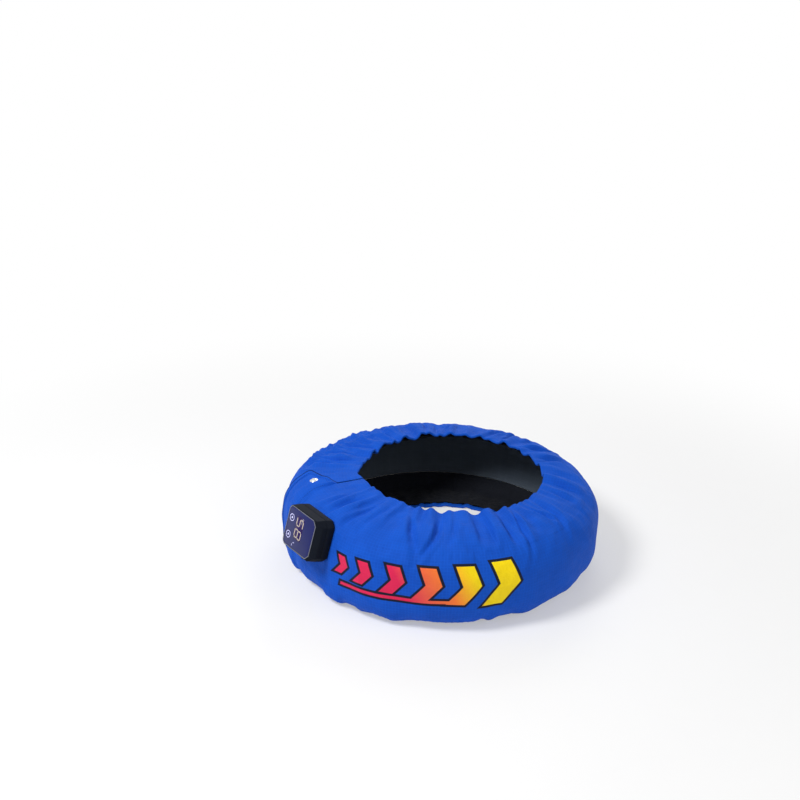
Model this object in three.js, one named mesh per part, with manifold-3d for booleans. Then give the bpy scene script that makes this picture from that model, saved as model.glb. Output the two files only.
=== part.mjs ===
// Tire warmer for the front wheel of a motorcycle, lying flat as an empty ring.
// A gathered cloth cover holds batting and a heating mat round the tread, and a digital
// controller is screwed to the wall of the cover. Sizes are in millimetres and Z points up.
// While the ring is built its axis is Z and it stands on z = 0. Angles are in degrees,
// counterclockwise from +X. Depth is measured inwards from the outer face of the cover.

import * as THREE from 'three';
import { mergeVertices } from 'three/addons/utils/BufferGeometryUtils.js';
import Module from 'manifold-3d';

const wasm = await Module();
wasm.setup();

// The tire, and the plies that lie round its tread
const TIRE_RADIUS = 300;
const SEAT_CLEARANCE = 4;
const MAT_THICKNESS = 3;
const BATTING_THICKNESS = 10;
const CLOTH_THICKNESS = 1.6;
const LINING_THICKNESS = 1.2;
const PLY_GAP = 0.9;

// Section of the cover: a squarish oval that is pressed flat on the floor
const COVER_HEIGHT = 176;
const CROWN_REACH = 99;
const CROWN_POWER = 2.6;
const SIT_DEPTH = 3;
const SEAM_HEIGHT = COVER_HEIGHT * 0.407;
const BATTING_HEIGHT = COVER_HEIGHT * 0.75;
const MAT_HEIGHT = COVER_HEIGHT * 0.67;
const TREAD_FACETS = 36;

// Skirts: gathered sheets from the seams to the two elasticated hems
const HEM_RADIUS = 184;
const HEM_SHIFT = 20;
const HEM_RISE = 11;
const HEM_PULL = 17;
const HEM_PULL_ANGLE = 189;
const HEM_PULL_SPREAD = 12;
const UPPER_GATHERS = 30;
const LOWER_GATHERS = 20;
const GATHER_HEIGHT = 5;
const ELASTIC_WIDTH = 6;
const ELASTIC_THICKNESS = 1.6;
const CASING_GAP = 0.4;

// Closure: the ends of every ply meet at one angle, under a flap
const JOINT_ANGLE = 198;
const JOINT_GAP = 4;
const FLAP_REACH_ANGLE = 189;
const FLAP_CORNER_ANGLE = 185;
const FLAP_ROOT_ANGLE = 205;
const FLAP_TOP_END_ANGLE = 195.5;
const FLAP_TOP_ROOT_ANGLE = 199;
const FLAP_CORNER_PLACE = 1.32;
const FLAP_TOP_PLACE = 1.7;
const FLAP_ROOT_GAP = 2.2;
const TAPE_THICKNESS = 1.6;
const TAPE_GAP = 0.6;
const TAPE_START_ANGLE = 190.6;
const TAPE_END_ANGLE = 196.4;
const TAPE_REACH = 60;

// Press stud that holds the flap's upper corner
const STUD_ANGLE = 193.5;
const STUD_PLACE = 1.4;
const STUD_GAP = 0.6;
const STUD_CAP_RADIUS = 7.8;
const STUD_CAP_HEIGHT = 2.4;
const STUD_CAP_RIM = 0.8;
const STUD_CAP_CROWN_RADIUS = 6.1;
const STUD_CAP_SHOULDER = 2;
const STUD_SOCKET_RADIUS = 6.2;
const STUD_NIPPLE_RADIUS = 2.7;
const STUD_STEM_RADIUS = 1.2;
const STUD_FLANGE = 0.8;
const STUD_SIDES = 12;

// Controller case: x runs along the tread, y up the wall and z out of the wall
const CASE_ANGLE = 217.4;
const CASE_RISE = COVER_HEIGHT * 0.273;
const CASE_TILT = 16;
const CASE_SINK = 10;
const CASE_WALL_POWER = 4;
const WALL_FADE = 60;
const CASE_LENGTH = 102;
const CASE_WIDTH = 84;
const CASE_HEIGHT = 38;
const CASE_SPLIT = 17;
const CASE_WALL = 2.4;
const CASE_ROUND = 13;
const CASE_CLIP = 11;
const CASE_DRAFT = 1.5;
const CASE_EDGE = 1.2;
const NOSE_LENGTH = 7;
const NOSE_DROP = 10;
const PANEL_THICKNESS = 1.3;
const PANEL_MARGIN = 3;
const DISPLAY_X = -7;
const DISPLAY_Y = 5;
const DISPLAY_LENGTH = 26;
const DISPLAY_WIDTH = 50;
const BUTTON_X = -33;
const BUTTON_Y = 17;
const BUTTON_RADIUS = 4.5;
const FIT_GAP = 0.3;

// Fixings and works of the controller
const PLATE_LENGTH = 70;
const PLATE_WIDTH = COVER_HEIGHT * 0.238;
const PLATE_THICKNESS = 1.6;
const PLATE_SCREW_X = PLATE_LENGTH / 2 - 7;
const PLATE_SCREW_Y = PLATE_WIDTH / 2 - 7;
const PLATE_SCREW_REACH = 9;
const CASE_SCREW_X = CASE_LENGTH / 2 - 10;
const CASE_SCREW_Y = CASE_WIDTH / 2 - 15;
const CASE_SCREW_REACH = 24;
const SCREW_RADIUS = 1.6;
const SCREW_HEAD_RADIUS = 3.2;
const SCREW_HEAD = 2;
const BOSS_WALL = 2.4;
const BOARD_LENGTH = CASE_LENGTH - 30;
const BOARD_WIDTH = CASE_WIDTH - 12;
const BOARD_THICKNESS = 1.6;
const BOARD_HEIGHT = 19;
const STANDOFF_X = BOARD_LENGTH / 2 - 5;
const STANDOFF_Y = BOARD_WIDTH / 2 - 5;
const STANDOFF_RADIUS = 2.6;
const RELAY_X = 2;
const RELAY_Y = 18 - BOARD_WIDTH / 2;
const RELAY_LENGTH = 20;
const RELAY_WIDTH = 15;
const RELAY_HEIGHT = 11;
const LEAD_X = 12;
const LEAD_Y = 8;
const LEAD_RADIUS = 2.5;
const TERMINAL_LENGTH = 22;
const TERMINAL_WIDTH = 12;
const TERMINAL_HEIGHT = 8;
const PROBE_X = -13;
const PROBE_Y = 6;
const PROBE_RADIUS = 1.2;
const PROBE_HEAD_LENGTH = 12;
const PROBE_HEAD_WIDTH = 6;
const PROBE_HEAD_THICKNESS = 2.2;
const GLAND_X = -8;
const GLAND_HEIGHT = 9;
const GLAND_RADIUS = 4.8;
const GLAND_BORE_RADIUS = 3.2;
const GLAND_NUT_RADIUS = 7;
const GLAND_NUT_LENGTH = 5;
const GLAND_LIP = 0.8;
const GLAND_LENGTH = 15;
const GLAND_SIDES = 12;

const COVER_RADIUS = TIRE_RADIUS + SEAT_CLEARANCE + MAT_THICKNESS + BATTING_THICKNESS
  + CLOTH_THICKNESS + 2 * PLY_GAP;
const MID_HEIGHT = COVER_HEIGHT / 2 - SIT_DEPTH;
const SEAM_GAP = COVER_RADIUS * (1 - Math.cos(Math.PI / TREAD_FACETS)) + FIT_GAP;
const BATTING_DEPTH = CLOTH_THICKNESS + PLY_GAP;
const BATTING_BACK_DEPTH = BATTING_DEPTH + BATTING_THICKNESS;
const MAT_DEPTH = BATTING_BACK_DEPTH + PLY_GAP;
const MAT_BACK_DEPTH = MAT_DEPTH + MAT_THICKNESS;
const FLAP_LIFT = 2 * TAPE_THICKNESS + 3 * TAPE_GAP;

const radians = THREE.MathUtils.degToRad;
const degrees = THREE.MathUtils.radToDeg;
const mix = THREE.MathUtils.lerp;
const clamp = THREE.MathUtils.clamp;
const ease = (x) => THREE.MathUtils.smoothstep(x, 0, 1);
const turnBetween = (a, b) => THREE.MathUtils.euclideanModulo(a - b + 180, 360) - 180;

// Materials
function paint(color, roughness, metalness = 0) {
  return new THREE.MeshStandardMaterial({ color, roughness, metalness });
}

const BLUE_CLOTH = paint(0x1a4fd0, 0.75);
const BLACK_CLOTH = paint(0x14161c, 0.9);
const GREY_MAT = paint(0x2f343c, 0.7);
const WHITE_BATTING = paint(0xd8d6cc, 0.95);
const BLACK_TAPE = paint(0x101114, 0.95);
const BLACK_PLASTIC = paint(0x1a1c20, 0.5);
const INDIGO_PANEL = paint(0x2a2e78, 0.15);
const NICKEL = paint(0xc9ccd0, 0.3, 0.9);
const STEEL = paint(0x8f9499, 0.35, 0.9);
const BOARD_GREEN = paint(0x1d5b34, 0.5);
const DISPLAY_GREY = paint(0x3a3a40, 0.4);
const LEAD_GREY = paint(0x55585e, 0.7);

const warmer = new THREE.Group();

function addPiece(name, geometry, material, frame) {
  const mesh = new THREE.Mesh(geometry, material);
  mesh.name = name;
  if (frame) frame.decompose(mesh.position, mesh.quaternion, mesh.scale);
  warmer.add(mesh);
}

// Solids and geometries

function toSolid(geometry, frame) {
  const bare = geometry.index ? geometry.toNonIndexed() : geometry.clone();
  const positions = new THREE.BufferGeometry().setAttribute('position', bare.getAttribute('position'));
  if (frame) positions.applyMatrix4(frame);
  const merged = mergeVertices(positions, 1e-4);
  return new wasm.Manifold(new wasm.Mesh({
    numProp: 3,
    vertProperties: new Float32Array(merged.getAttribute('position').array),
    triVerts: new Uint32Array(merged.index.array),
  }));
}

function toGeometry(solid) {
  const mesh = solid.getMesh();
  const geometry = new THREE.BufferGeometry();
  const positions = new Float32Array(mesh.vertProperties);
  geometry.setAttribute('position', new THREE.BufferAttribute(positions, 3));
  geometry.setIndex(new THREE.BufferAttribute(new Uint32Array(mesh.triVerts), 1));
  geometry.computeVertexNormals();
  return geometry;
}

const cut = (solid, tools) => tools.reduce((left, tool) => left.subtract(tool), solid);
const join = (solid, others) => others.reduce((whole, other) => whole.add(other), solid);

function carve(geometry, tools, frame) {
  return toGeometry(cut(toSolid(geometry), tools.map((tool) => toSolid(tool, frame))));
}

// Closed body through a row of outlines with equally many points, capped at both ends.
// The flat outline is the first one in its own plane, in the same order. Twisted faces are
// creased the same way on both sides of a sheet, so that sheets nest.
function loft(outlines, flat) {
  const count = flat.length;
  const index = [];
  for (let i = 0; i + 1 < outlines.length; i += 1) {
    for (let j = 0; j < count; j += 1) {
      const a = i * count + j;
      const b = i * count + (j + 1) % count;
      if (j < count / 2) index.push(a, a + count, b + count, a, b + count, b);
      else index.push(a, a + count, b, a + count, b + count, b);
    }
  }
  const last = (outlines.length - 1) * count;
  const clockwise = THREE.ShapeUtils.isClockWise(flat);
  for (const [a, p, q] of THREE.ShapeUtils.triangulateShape(flat, [])) {
    const [b, c] = clockwise ? [q, p] : [p, q];
    index.push(a, b, c, last + a, last + c, last + b);
  }
  const geometry = new THREE.BufferGeometry().setFromPoints(outlines.flat());
  geometry.setIndex(index);
  return geometry;
}

// Upright body through counterclockwise outlines at rising heights.
function stack(levels) {
  const raise = (outline, z) => outline.map((p) => new THREE.Vector3(p.x, p.y, z)).reverse();
  const outlines = levels.map(([outline, z]) => raise(outline, z));
  return loft(outlines, [...levels[0][0]].reverse());
}

function block(length, width, low, high, x = 0, y = 0) {
  const geometry = new THREE.BoxGeometry(length, width, high - low);
  return geometry.translate(x, y, (low + high) / 2);
}

function rod(radius, low, high, x = 0, y = 0, sides = 8) {
  const geometry = new THREE.CylinderGeometry(radius, radius, high - low, sides);
  return geometry.rotateX(Math.PI / 2).translate(x, y, (low + high) / 2);
}

// Body turned about Z from [radius, height] pairs that run counterclockwise.
function turned(pairs, sides) {
  const profile = [...pairs, pairs[0]].map(([x, y]) => new THREE.Vector2(x, y));
  return new THREE.LatheGeometry(profile, sides).rotateX(Math.PI / 2);
}

function onRing(angle, r, z) {
  return new THREE.Vector3(r * Math.cos(radians(angle)), r * Math.sin(radians(angle)), z);
}

// Ring swept from the joint round to the joint, through one [r, z] outline at each angle.
function ring(angles, outlineAt) {
  const flat = angles.map((angle) => outlineAt(angle));
  const outlines = flat.map((outline, i) => outline.map(([r, z]) => onRing(angles[i], r, z)));
  return loft(outlines, flat[0].map(([r, z]) => new THREE.Vector2(r, z)));
}

// Angles of the ring's facets. Some of them stand where the case's flat begins and ends.
const JOINT_HALF = degrees(JOINT_GAP / 2 / COVER_RADIUS);
const RING_START = JOINT_ANGLE + JOINT_HALF;
const RING_END = JOINT_ANGLE + 360 - JOINT_HALF;
const CASE_HALF_TURN = degrees(Math.asin(CASE_LENGTH / 2 / (COVER_RADIUS - CASE_SINK)));

function ringAngles() {
  const marks = [
    RING_START,
    ...[-1.6, -1, 1, 1.6].map((share) => CASE_ANGLE + share * CASE_HALF_TURN),
    RING_END,
  ];
  const angles = [];
  for (let k = 0; k + 1 < marks.length; k += 1) {
    const parts = Math.ceil((marks[k + 1] - marks[k]) / (360 / TREAD_FACETS));
    for (let i = 0; i < parts; i += 1) angles.push(mix(marks[k], marks[k + 1], i / parts));
  }
  return [...angles, RING_END];
}

const RING_ANGLES = ringAngles();

// Section of the cover

// The wall is fuller behind the case, whose plate holds it up.
function wallPower(angle) {
  const away = Math.abs(turnBetween(angle, CASE_ANGLE));
  return mix(CASE_WALL_POWER, CROWN_POWER, ease((away - CASE_HALF_TURN) / WALL_FADE));
}

// Plane against which the case's plate presses the wall flat: its distance from mid-height's centre.
function seatDistance() {
  const tilt = radians(CASE_TILT);
  const dual = CASE_WALL_POWER / (CASE_WALL_POWER - 1);
  const reach = (CROWN_REACH * Math.cos(tilt)) ** dual + (COVER_HEIGHT / 2 * Math.sin(tilt)) ** dual;
  return (COVER_RADIUS - CROWN_REACH) * Math.cos(tilt) + reach ** (1 / dual) - CASE_SINK;
}

// Point of the crown at a height above mid-height, as [r, q], pushed inwards by a depth.
function crownPoint(angle, height, depth) {
  const power = wallPower(angle);
  const halfHeight = COVER_HEIGHT / 2;
  const y = height / halfHeight;
  const x = (1 - Math.abs(y) ** power) ** (1 / power);
  const normal = new THREE.Vector2(
    x ** (power - 1) / CROWN_REACH,
    Math.sign(y) * Math.abs(y) ** (power - 1) / halfHeight,
  ).normalize();
  const q = height - depth * normal.y;
  const round = COVER_RADIUS - CROWN_REACH + CROWN_REACH * x - depth * normal.x;
  const away = radians(turnBetween(angle, CASE_ANGLE));
  const tilt = radians(CASE_TILT);
  const flat = (seatDistance() - depth - q * Math.sin(tilt)) / (Math.cos(tilt) * Math.cos(away));
  return Math.abs(away) < 1 ? [Math.min(round, flat), q] : [round, q];
}

// Every ply is creased at the same shares of the seam height, so that the plies nest.
const CROWN_STOPS = [-1, -0.72, -0.3, 0.3, 0.72, 1];

// Point of the creased crown at a height above mid-height, as [r, z].
function crown(angle, height, depth) {
  const share = height / SEAM_HEIGHT;
  const k = clamp(CROWN_STOPS.findIndex((stop) => stop >= share), 1, CROWN_STOPS.length - 1);
  const [from, to] = [CROWN_STOPS[k - 1], CROWN_STOPS[k]];
  const [r0, q0] = crownPoint(angle, from * SEAM_HEIGHT, depth);
  const [r1, q1] = crownPoint(angle, to * SEAM_HEIGHT, depth);
  const t = (share - from) / (to - from);
  return [mix(r0, r1, t), MID_HEIGHT + mix(q0, q1, t)];
}

const crownHeights = (reach) => {
  const creases = CROWN_STOPS.map((stop) => stop * SEAM_HEIGHT);
  return [-reach, ...creases.filter((height) => Math.abs(height) < reach - FIT_GAP), reach];
};

// Outline of a ply of the tread, between two depths, that reaches as far up as down.
function plyOutline(angle, reach, outerDepth, innerDepth) {
  const heights = crownHeights(reach);
  const outer = heights.map((height) => crown(angle, height, outerDepth));
  const inner = heights.map((height) => crown(angle, height, innerDepth));
  return [...outer, ...inner.reverse()];
}

// Skirts

// Repeatable scatter from 0 to 1.
const scatter = (k) => THREE.MathUtils.euclideanModulo(Math.sin(k * 12.9898) * 43758.5453, 1);

// The gathers die out round the closure, where the cloth is doubled and stiff.
function calm(angle) {
  const centre = (FLAP_CORNER_ANGLE + FLAP_ROOT_ANGLE) / 2;
  const half = (FLAP_ROOT_ANGLE - FLAP_CORNER_ANGLE) / 2;
  return ease((Math.abs(turnBetween(angle, centre)) - half) / 16);
}

// Angles at which a gathered skirt is creased, with how far each stands up or sinks, from -1 to 1.
function gatherStops(count, seed) {
  const widths = Array.from({ length: count }, (_, k) => 0.65 + 0.7 * scatter(k + seed));
  const total = widths.reduce((sum, width) => sum + width, 0);
  const stops = [];
  let start = 0;
  widths.forEach((width, k) => {
    const size = 0.45 + 0.55 * scatter(3 * k + seed);
    for (const [share, lift] of [[0, -1], [0.32, 0.9], [0.68, 0.7]]) {
      const angle = mix(RING_START, RING_END, (start + share * width) / total);
      stops.push({ angle, lift: lift * size * calm(angle) });
    }
    start += width;
  });
  return [...stops, { angle: RING_END, lift: 0 }];
}

function hemRadius(angle) {
  const across = HEM_SHIFT * Math.sin(radians(angle));
  const plain = HEM_SHIFT * Math.cos(radians(angle)) + Math.sqrt(HEM_RADIUS ** 2 - across ** 2);
  return plain + HEM_PULL * Math.exp(-Math.abs(turnBetween(angle, HEM_PULL_ANGLE)) / HEM_PULL_SPREAD);
}

const UPPER = { rise: HEM_RISE, waveStart: 0, stops: [0, 0.28, 0.52, 0.76, 1] };
const LOWER = { rise: 0, waveStart: 0.76, stops: [0, 0.3, 0.56, 0.78, 0.92, 1] };

// Smooth curve of a skirt from its seam to its hem, as a point and its outward normal in [r, q].
function skirtCurve(side, angle, t) {
  const [seamR, seamQ] = crownPoint(angle, SEAM_HEIGHT, 0);
  const [nearR, nearQ] = crownPoint(angle, SEAM_HEIGHT + 1, 0);
  const along = new THREE.Vector2(nearR - seamR, nearQ - seamQ).normalize();
  const seam = new THREE.Vector2(seamR, seamQ).addScaledVector(along, SEAM_GAP);
  const hem = new THREE.Vector2(hemRadius(angle), COVER_HEIGHT / 2 + side.rise);
  const reach = seam.distanceTo(hem);
  const curve = new THREE.CubicBezierCurve(
    seam,
    seam.clone().addScaledVector(along, reach * 0.25),
    hem.clone().add(new THREE.Vector2(reach * 0.45, -side.rise * 0.55)),
    hem,
  );
  const tangent = curve.getTangent(t);
  return { point: curve.getPoint(t), normal: new THREE.Vector2(tangent.y, -tangent.x) };
}

// Point of a skirt at a place from its seam (0) to its hem (1). The lower skirt lies on the floor.
function skirtPoint(side, angle, place, depth, lift) {
  const k = clamp(side.stops.findIndex((stop) => stop >= place), 1, side.stops.length - 1);
  const [from, to] = [side.stops[k - 1], side.stops[k]];
  const [start, end] = [from, to].map((t) => {
    const { point, normal } = skirtCurve(side, angle, t);
    const wave = GATHER_HEIGHT * ease((t - side.waveStart) / (0.95 - side.waveStart));
    return point.addScaledVector(normal, wave * (side === UPPER ? lift : lift - 1) - depth);
  });
  const point = start.lerp(end, (place - from) / (to - from));
  if (side === UPPER) return [point.x, MID_HEIGHT + point.y];
  return [point.x, Math.max(MID_HEIGHT - point.y, depth)];
}

// Folded hem round its elastic: [distance towards the axis, depth] pairs from the outer face.
const HEM_DEPTH = 2 * CLOTH_THICKNESS + ELASTIC_THICKNESS + 2 * CASING_GAP;
const HEM_FOLD = [
  [0.6 * HEM_DEPTH, 0.25 * HEM_DEPTH],
  [0.5 * HEM_DEPTH, HEM_DEPTH],
  [-ELASTIC_WIDTH - 2 * CASING_GAP, HEM_DEPTH],
  [-ELASTIC_WIDTH - 2 * CASING_GAP, HEM_DEPTH - CLOTH_THICKNESS],
  [CASING_GAP, HEM_DEPTH - CLOTH_THICKNESS],
  [CASING_GAP, CLOTH_THICKNESS],
];

// Point beside the hem, in line with the last stretch of the skirt.
function hemPoint(side, angle, [inwards, depth], lift) {
  const [r, z] = skirtPoint(side, angle, 1, 0, lift);
  const [nearR, nearZ] = skirtPoint(side, angle, side.stops.at(-2), 0, lift);
  const along = new THREE.Vector2(r - nearR, z - nearZ).normalize();
  const out = new THREE.Vector2(along.y, -along.x).multiplyScalar(side === UPPER ? 1 : -1);
  return [r + along.x * inwards - out.x * depth, z + along.y * inwards - out.y * depth];
}

const facing = (side, outline) => (side === UPPER ? outline : [...outline].reverse());

function skirtOutline(side, angle, lift) {
  const outer = side.stops.map((place) => skirtPoint(side, angle, place, 0, lift));
  const fold = HEM_FOLD.map((pair) => hemPoint(side, angle, pair, lift));
  const places = side.stops.slice(0, -1);
  const inner = places.map((place) => skirtPoint(side, angle, place, CLOTH_THICKNESS, lift));
  return facing(side, [...outer, ...fold, ...inner.reverse()]);
}

function elasticOutline(side, angle, lift) {
  const top = CLOTH_THICKNESS + CASING_GAP;
  const corners = [
    [-ELASTIC_WIDTH, top],
    [0, top],
    [0, top + ELASTIC_THICKNESS],
    [-ELASTIC_WIDTH, top + ELASTIC_THICKNESS],
  ];
  return facing(side, corners.map((pair) => hemPoint(side, angle, pair, lift)));
}

// Lining under a skirt, from beside the mat to just under the folded hem.
function liningOutline(side, angle) {
  const up = side === UPPER ? 1 : -1;
  const rest = side === UPPER ? 0 : 1;
  const hemSink = HEM_DEPTH + GATHER_HEIGHT * (1 + rest) + PLY_GAP;
  const path = (extra) => [
    crown(angle, up * (MAT_HEIGHT / 2 + 1), MAT_DEPTH + extra),
    crown(angle, up * SEAM_HEIGHT, MAT_DEPTH + extra),
    skirtPoint(side, angle, 0.25, MAT_DEPTH + extra, rest),
    skirtPoint(side, angle, 0.55, hemSink + extra, rest),
    skirtPoint(side, angle, 0.95, hemSink + extra, rest),
  ];
  return facing(side, [...path(0), ...path(LINING_THICKNESS).reverse()]);
}

function addSkirt(side, name, count, seed) {
  const stops = gatherStops(count, seed);
  const lifts = new Map(stops.map((stop) => [stop.angle, stop.lift]));
  const angles = stops.map((stop) => stop.angle);
  const skirt = ring(angles, (angle) => skirtOutline(side, angle, lifts.get(angle)));
  const elastic = ring(angles, (angle) => elasticOutline(side, angle, lifts.get(angle)));
  const lining = ring(RING_ANGLES, (angle) => liningOutline(side, angle));
  addPiece(`${name}_hem_elastic`, elastic, BLACK_CLOTH);
  addPiece(`${name}_skirt_lining`, lining, BLACK_CLOTH);
  return skirt;
}

// Places on the cover near the closure

// Point on the creased cover, as a vector. Places run from -1 at the lower seam to 1 at the upper
// one, and on to 2 at the upper hem. A negative depth stands off the cover.
function coverPoint(angle, place, depth) {
  const at = (stop, [r, z]) => onRing(stop, r, z);
  if (place > 1) return at(angle, skirtPoint(UPPER, angle, place - 1, depth, 0));
  const wrapped = Math.min(angle < RING_START ? angle + 360 : angle, RING_END);
  const k = clamp(RING_ANGLES.findIndex((stop) => stop >= wrapped), 1, RING_ANGLES.length - 1);
  const [from, to] = [RING_ANGLES[k - 1], RING_ANGLES[k]];
  const [start, end] = [from, to].map((stop) => at(stop, crown(stop, place * SEAM_HEIGHT, depth)));
  return start.lerp(end, (wrapped - from) / (to - from));
}

// Frame on the cover: x runs counterclockwise along it, y up it and z out of it.
function coverFrame(angle, place) {
  const origin = coverPoint(angle, place, 0);
  const above = coverPoint(angle, place + 0.03, 0).sub(origin);
  const beside = coverPoint(angle + 0.5, place, 0).sub(origin);
  const z = beside.clone().cross(above).normalize();
  const y = above.addScaledVector(z, -above.dot(z)).normalize();
  const x = y.clone().cross(z);
  return new THREE.Matrix4().makeBasis(x, y, z).setPosition(origin);
}

// Sheet that stands off the cover, lofted up it through rows of [angle, lift] stations.
function coverSheet(rows, thickness) {
  const outlines = rows.map(({ place, stations }) => {
    const outer = stations.map(([angle, lift]) => coverPoint(angle, place, -lift - thickness));
    const inner = stations.map(([angle, lift]) => coverPoint(angle, place, -lift));
    return [...inner, ...outer.reverse()];
  });
  const front = rows[0].stations.map(([angle]) => new THREE.Vector2(angle, thickness));
  const back = rows[0].stations.map(([angle]) => new THREE.Vector2(angle, 0));
  return loft(outlines, [...back, ...front.reverse()]);
}

// Closure flap: its tongue lies over the tapes and its top corner is held by the press stud.
function flapRow(place) {
  const climb = clamp((place - 1) / (FLAP_CORNER_PLACE - 1), 0, 1);
  const close = clamp((place - FLAP_CORNER_PLACE) / (FLAP_TOP_PLACE - FLAP_CORNER_PLACE), 0, 1);
  const tongue = mix(FLAP_REACH_ANGLE, FLAP_CORNER_ANGLE, climb);
  const narrow = clamp((place - 1) / (FLAP_TOP_PLACE - 1), 0, 1);
  const end = mix(tongue, FLAP_TOP_END_ANGLE, close);
  const root = mix(FLAP_ROOT_ANGLE, FLAP_TOP_ROOT_ANGLE, narrow);
  const [before, after] = [JOINT_ANGLE - JOINT_HALF, JOINT_ANGLE + JOINT_HALF];
  const marks = [end, mix(end, before, 0.5), before, after, root];
  const lifts = [FLAP_LIFT, FLAP_LIFT, FLAP_LIFT, FLAP_LIFT, FLAP_ROOT_GAP];
  return { place, stations: marks.map((angle, k) => [angle, lifts[k]]) };
}

function addClosure() {
  const wallPlaces = CROWN_STOPS.map((stop) => clamp(stop, -0.98, 1));
  const topPlaces = [1.14, FLAP_CORNER_PLACE, 1.52, FLAP_TOP_PLACE];
  const flap = coverSheet([...wallPlaces, ...topPlaces].map(flapRow), CLOTH_THICKNESS);
  const tape = (lift) => {
    const reach = TAPE_REACH / SEAM_HEIGHT;
    const places = [-reach, ...CROWN_STOPS.filter((stop) => Math.abs(stop) < reach), reach];
    const stations = [[TAPE_START_ANGLE, lift], [TAPE_END_ANGLE, lift]];
    return coverSheet(places.map((place) => ({ place, stations })), TAPE_THICKNESS);
  };
  addPiece('loop_tape', tape(TAPE_GAP), BLACK_TAPE);
  addPiece('hook_tape', tape(TAPE_GAP * 2 + TAPE_THICKNESS), BLACK_TAPE);
  const hole = rod(STUD_STEM_RADIUS + FIT_GAP, 0, FLAP_LIFT * 2, 0, 0, STUD_SIDES);
  addPiece('closure_flap', carve(flap, [hole], STUD_FRAME), BLUE_CLOTH);
}

// Press stud
const STUD_FRAME = coverFrame(STUD_ANGLE, STUD_PLACE);

function addPressStud() {
  const base = STUD_GAP + STUD_FLANGE;
  const socketTop = FLAP_LIFT - STUD_GAP;
  const roof = socketTop - STUD_FLANGE;
  const nippleTop = roof - FIT_GAP;
  const stud = turned([
    [STUD_STEM_RADIUS + FIT_GAP, STUD_GAP],
    [STUD_SOCKET_RADIUS, STUD_GAP],
    [STUD_SOCKET_RADIUS, base],
    [STUD_NIPPLE_RADIUS, base],
    [STUD_NIPPLE_RADIUS, nippleTop],
    [STUD_STEM_RADIUS + FIT_GAP, nippleTop],
  ], STUD_SIDES);
  const socket = turned([
    [STUD_NIPPLE_RADIUS + FIT_GAP, base + FIT_GAP],
    [STUD_SOCKET_RADIUS, base + FIT_GAP],
    [STUD_SOCKET_RADIUS, socketTop],
    [0, socketTop],
    [0, roof],
    [STUD_NIPPLE_RADIUS + FIT_GAP, roof],
  ], STUD_SIDES);
  const under = FLAP_LIFT + CLOTH_THICKNESS + STUD_GAP;
  const cap = turned([
    [0, socketTop + FIT_GAP],
    [STUD_STEM_RADIUS, socketTop + FIT_GAP],
    [STUD_STEM_RADIUS, under],
    [STUD_CAP_RADIUS, under],
    [STUD_CAP_RADIUS, under + STUD_CAP_RIM],
    [STUD_CAP_CROWN_RADIUS, under + STUD_CAP_SHOULDER],
    [0, under + STUD_CAP_HEIGHT],
  ], STUD_SIDES);
  const bottom = -CLOTH_THICKNESS - STUD_GAP;
  const rivet = turned([
    [0, bottom - STUD_FLANGE],
    [STUD_SOCKET_RADIUS - 1, bottom - STUD_FLANGE],
    [STUD_SOCKET_RADIUS - 1, bottom],
    [STUD_STEM_RADIUS, bottom],
    [STUD_STEM_RADIUS, nippleTop - FIT_GAP],
    [0, nippleTop - FIT_GAP],
  ], STUD_SIDES);
  addPiece('snap_stud', stud, NICKEL, STUD_FRAME);
  addPiece('snap_socket', socket, NICKEL, STUD_FRAME);
  addPiece('snap_cap', cap, NICKEL, STUD_FRAME);
  addPiece('snap_rivet', rivet, NICKEL, STUD_FRAME);
}

// Controller case

// Frame of the case: its base plane stands just off the flat that the plate presses into the wall.
function caseFrame() {
  const tilt = radians(CASE_TILT);
  const turn = radians(CASE_ANGLE);
  const reach = (seatDistance() - CASE_RISE * Math.sin(tilt)) / Math.cos(tilt);
  const x = new THREE.Vector3(-Math.sin(turn), Math.cos(turn), 0);
  const z = onRing(CASE_ANGLE, Math.cos(tilt), Math.sin(tilt));
  const origin = onRing(CASE_ANGLE, reach, MID_HEIGHT + CASE_RISE).addScaledVector(z, FIT_GAP);
  return new THREE.Matrix4().makeBasis(x, z.clone().cross(x), z).setPosition(origin);
}

const CASE_FRAME = caseFrame();
const WALL_FACE = -FIT_GAP;
const WALL_BACK = WALL_FACE - CLOTH_THICKNESS;
const PLATE_TOP = WALL_FACE - BATTING_DEPTH;
const PLATE_BOTTOM = PLATE_TOP - PLATE_THICKNESS;
const MAT_TOP = WALL_FACE - MAT_DEPTH;
const PANEL_FLOOR = CASE_HEIGHT - PANEL_THICKNESS - FIT_GAP;
const CASE_CEILING = PANEL_FLOOR - CASE_WALL;

const corners = (x, y) => [[x, y], [-x, y], [-x, -y], [x, -y]];
const PLATE_SCREWS = corners(PLATE_SCREW_X, PLATE_SCREW_Y);
const CASE_SCREWS = corners(CASE_SCREW_X, CASE_SCREW_Y);
const STANDOFFS = corners(STANDOFF_X, STANDOFF_Y);
const BUTTONS = [[BUTTON_X, BUTTON_Y], [BUTTON_X, -BUTTON_Y]];

function arc(x, y, radius, from, to, steps) {
  return Array.from({ length: steps + 1 }, (_, k) => {
    const turn = radians(mix(from, to, k / steps));
    return new THREE.Vector2(x + radius * Math.cos(turn), y + radius * Math.sin(turn));
  });
}

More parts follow.
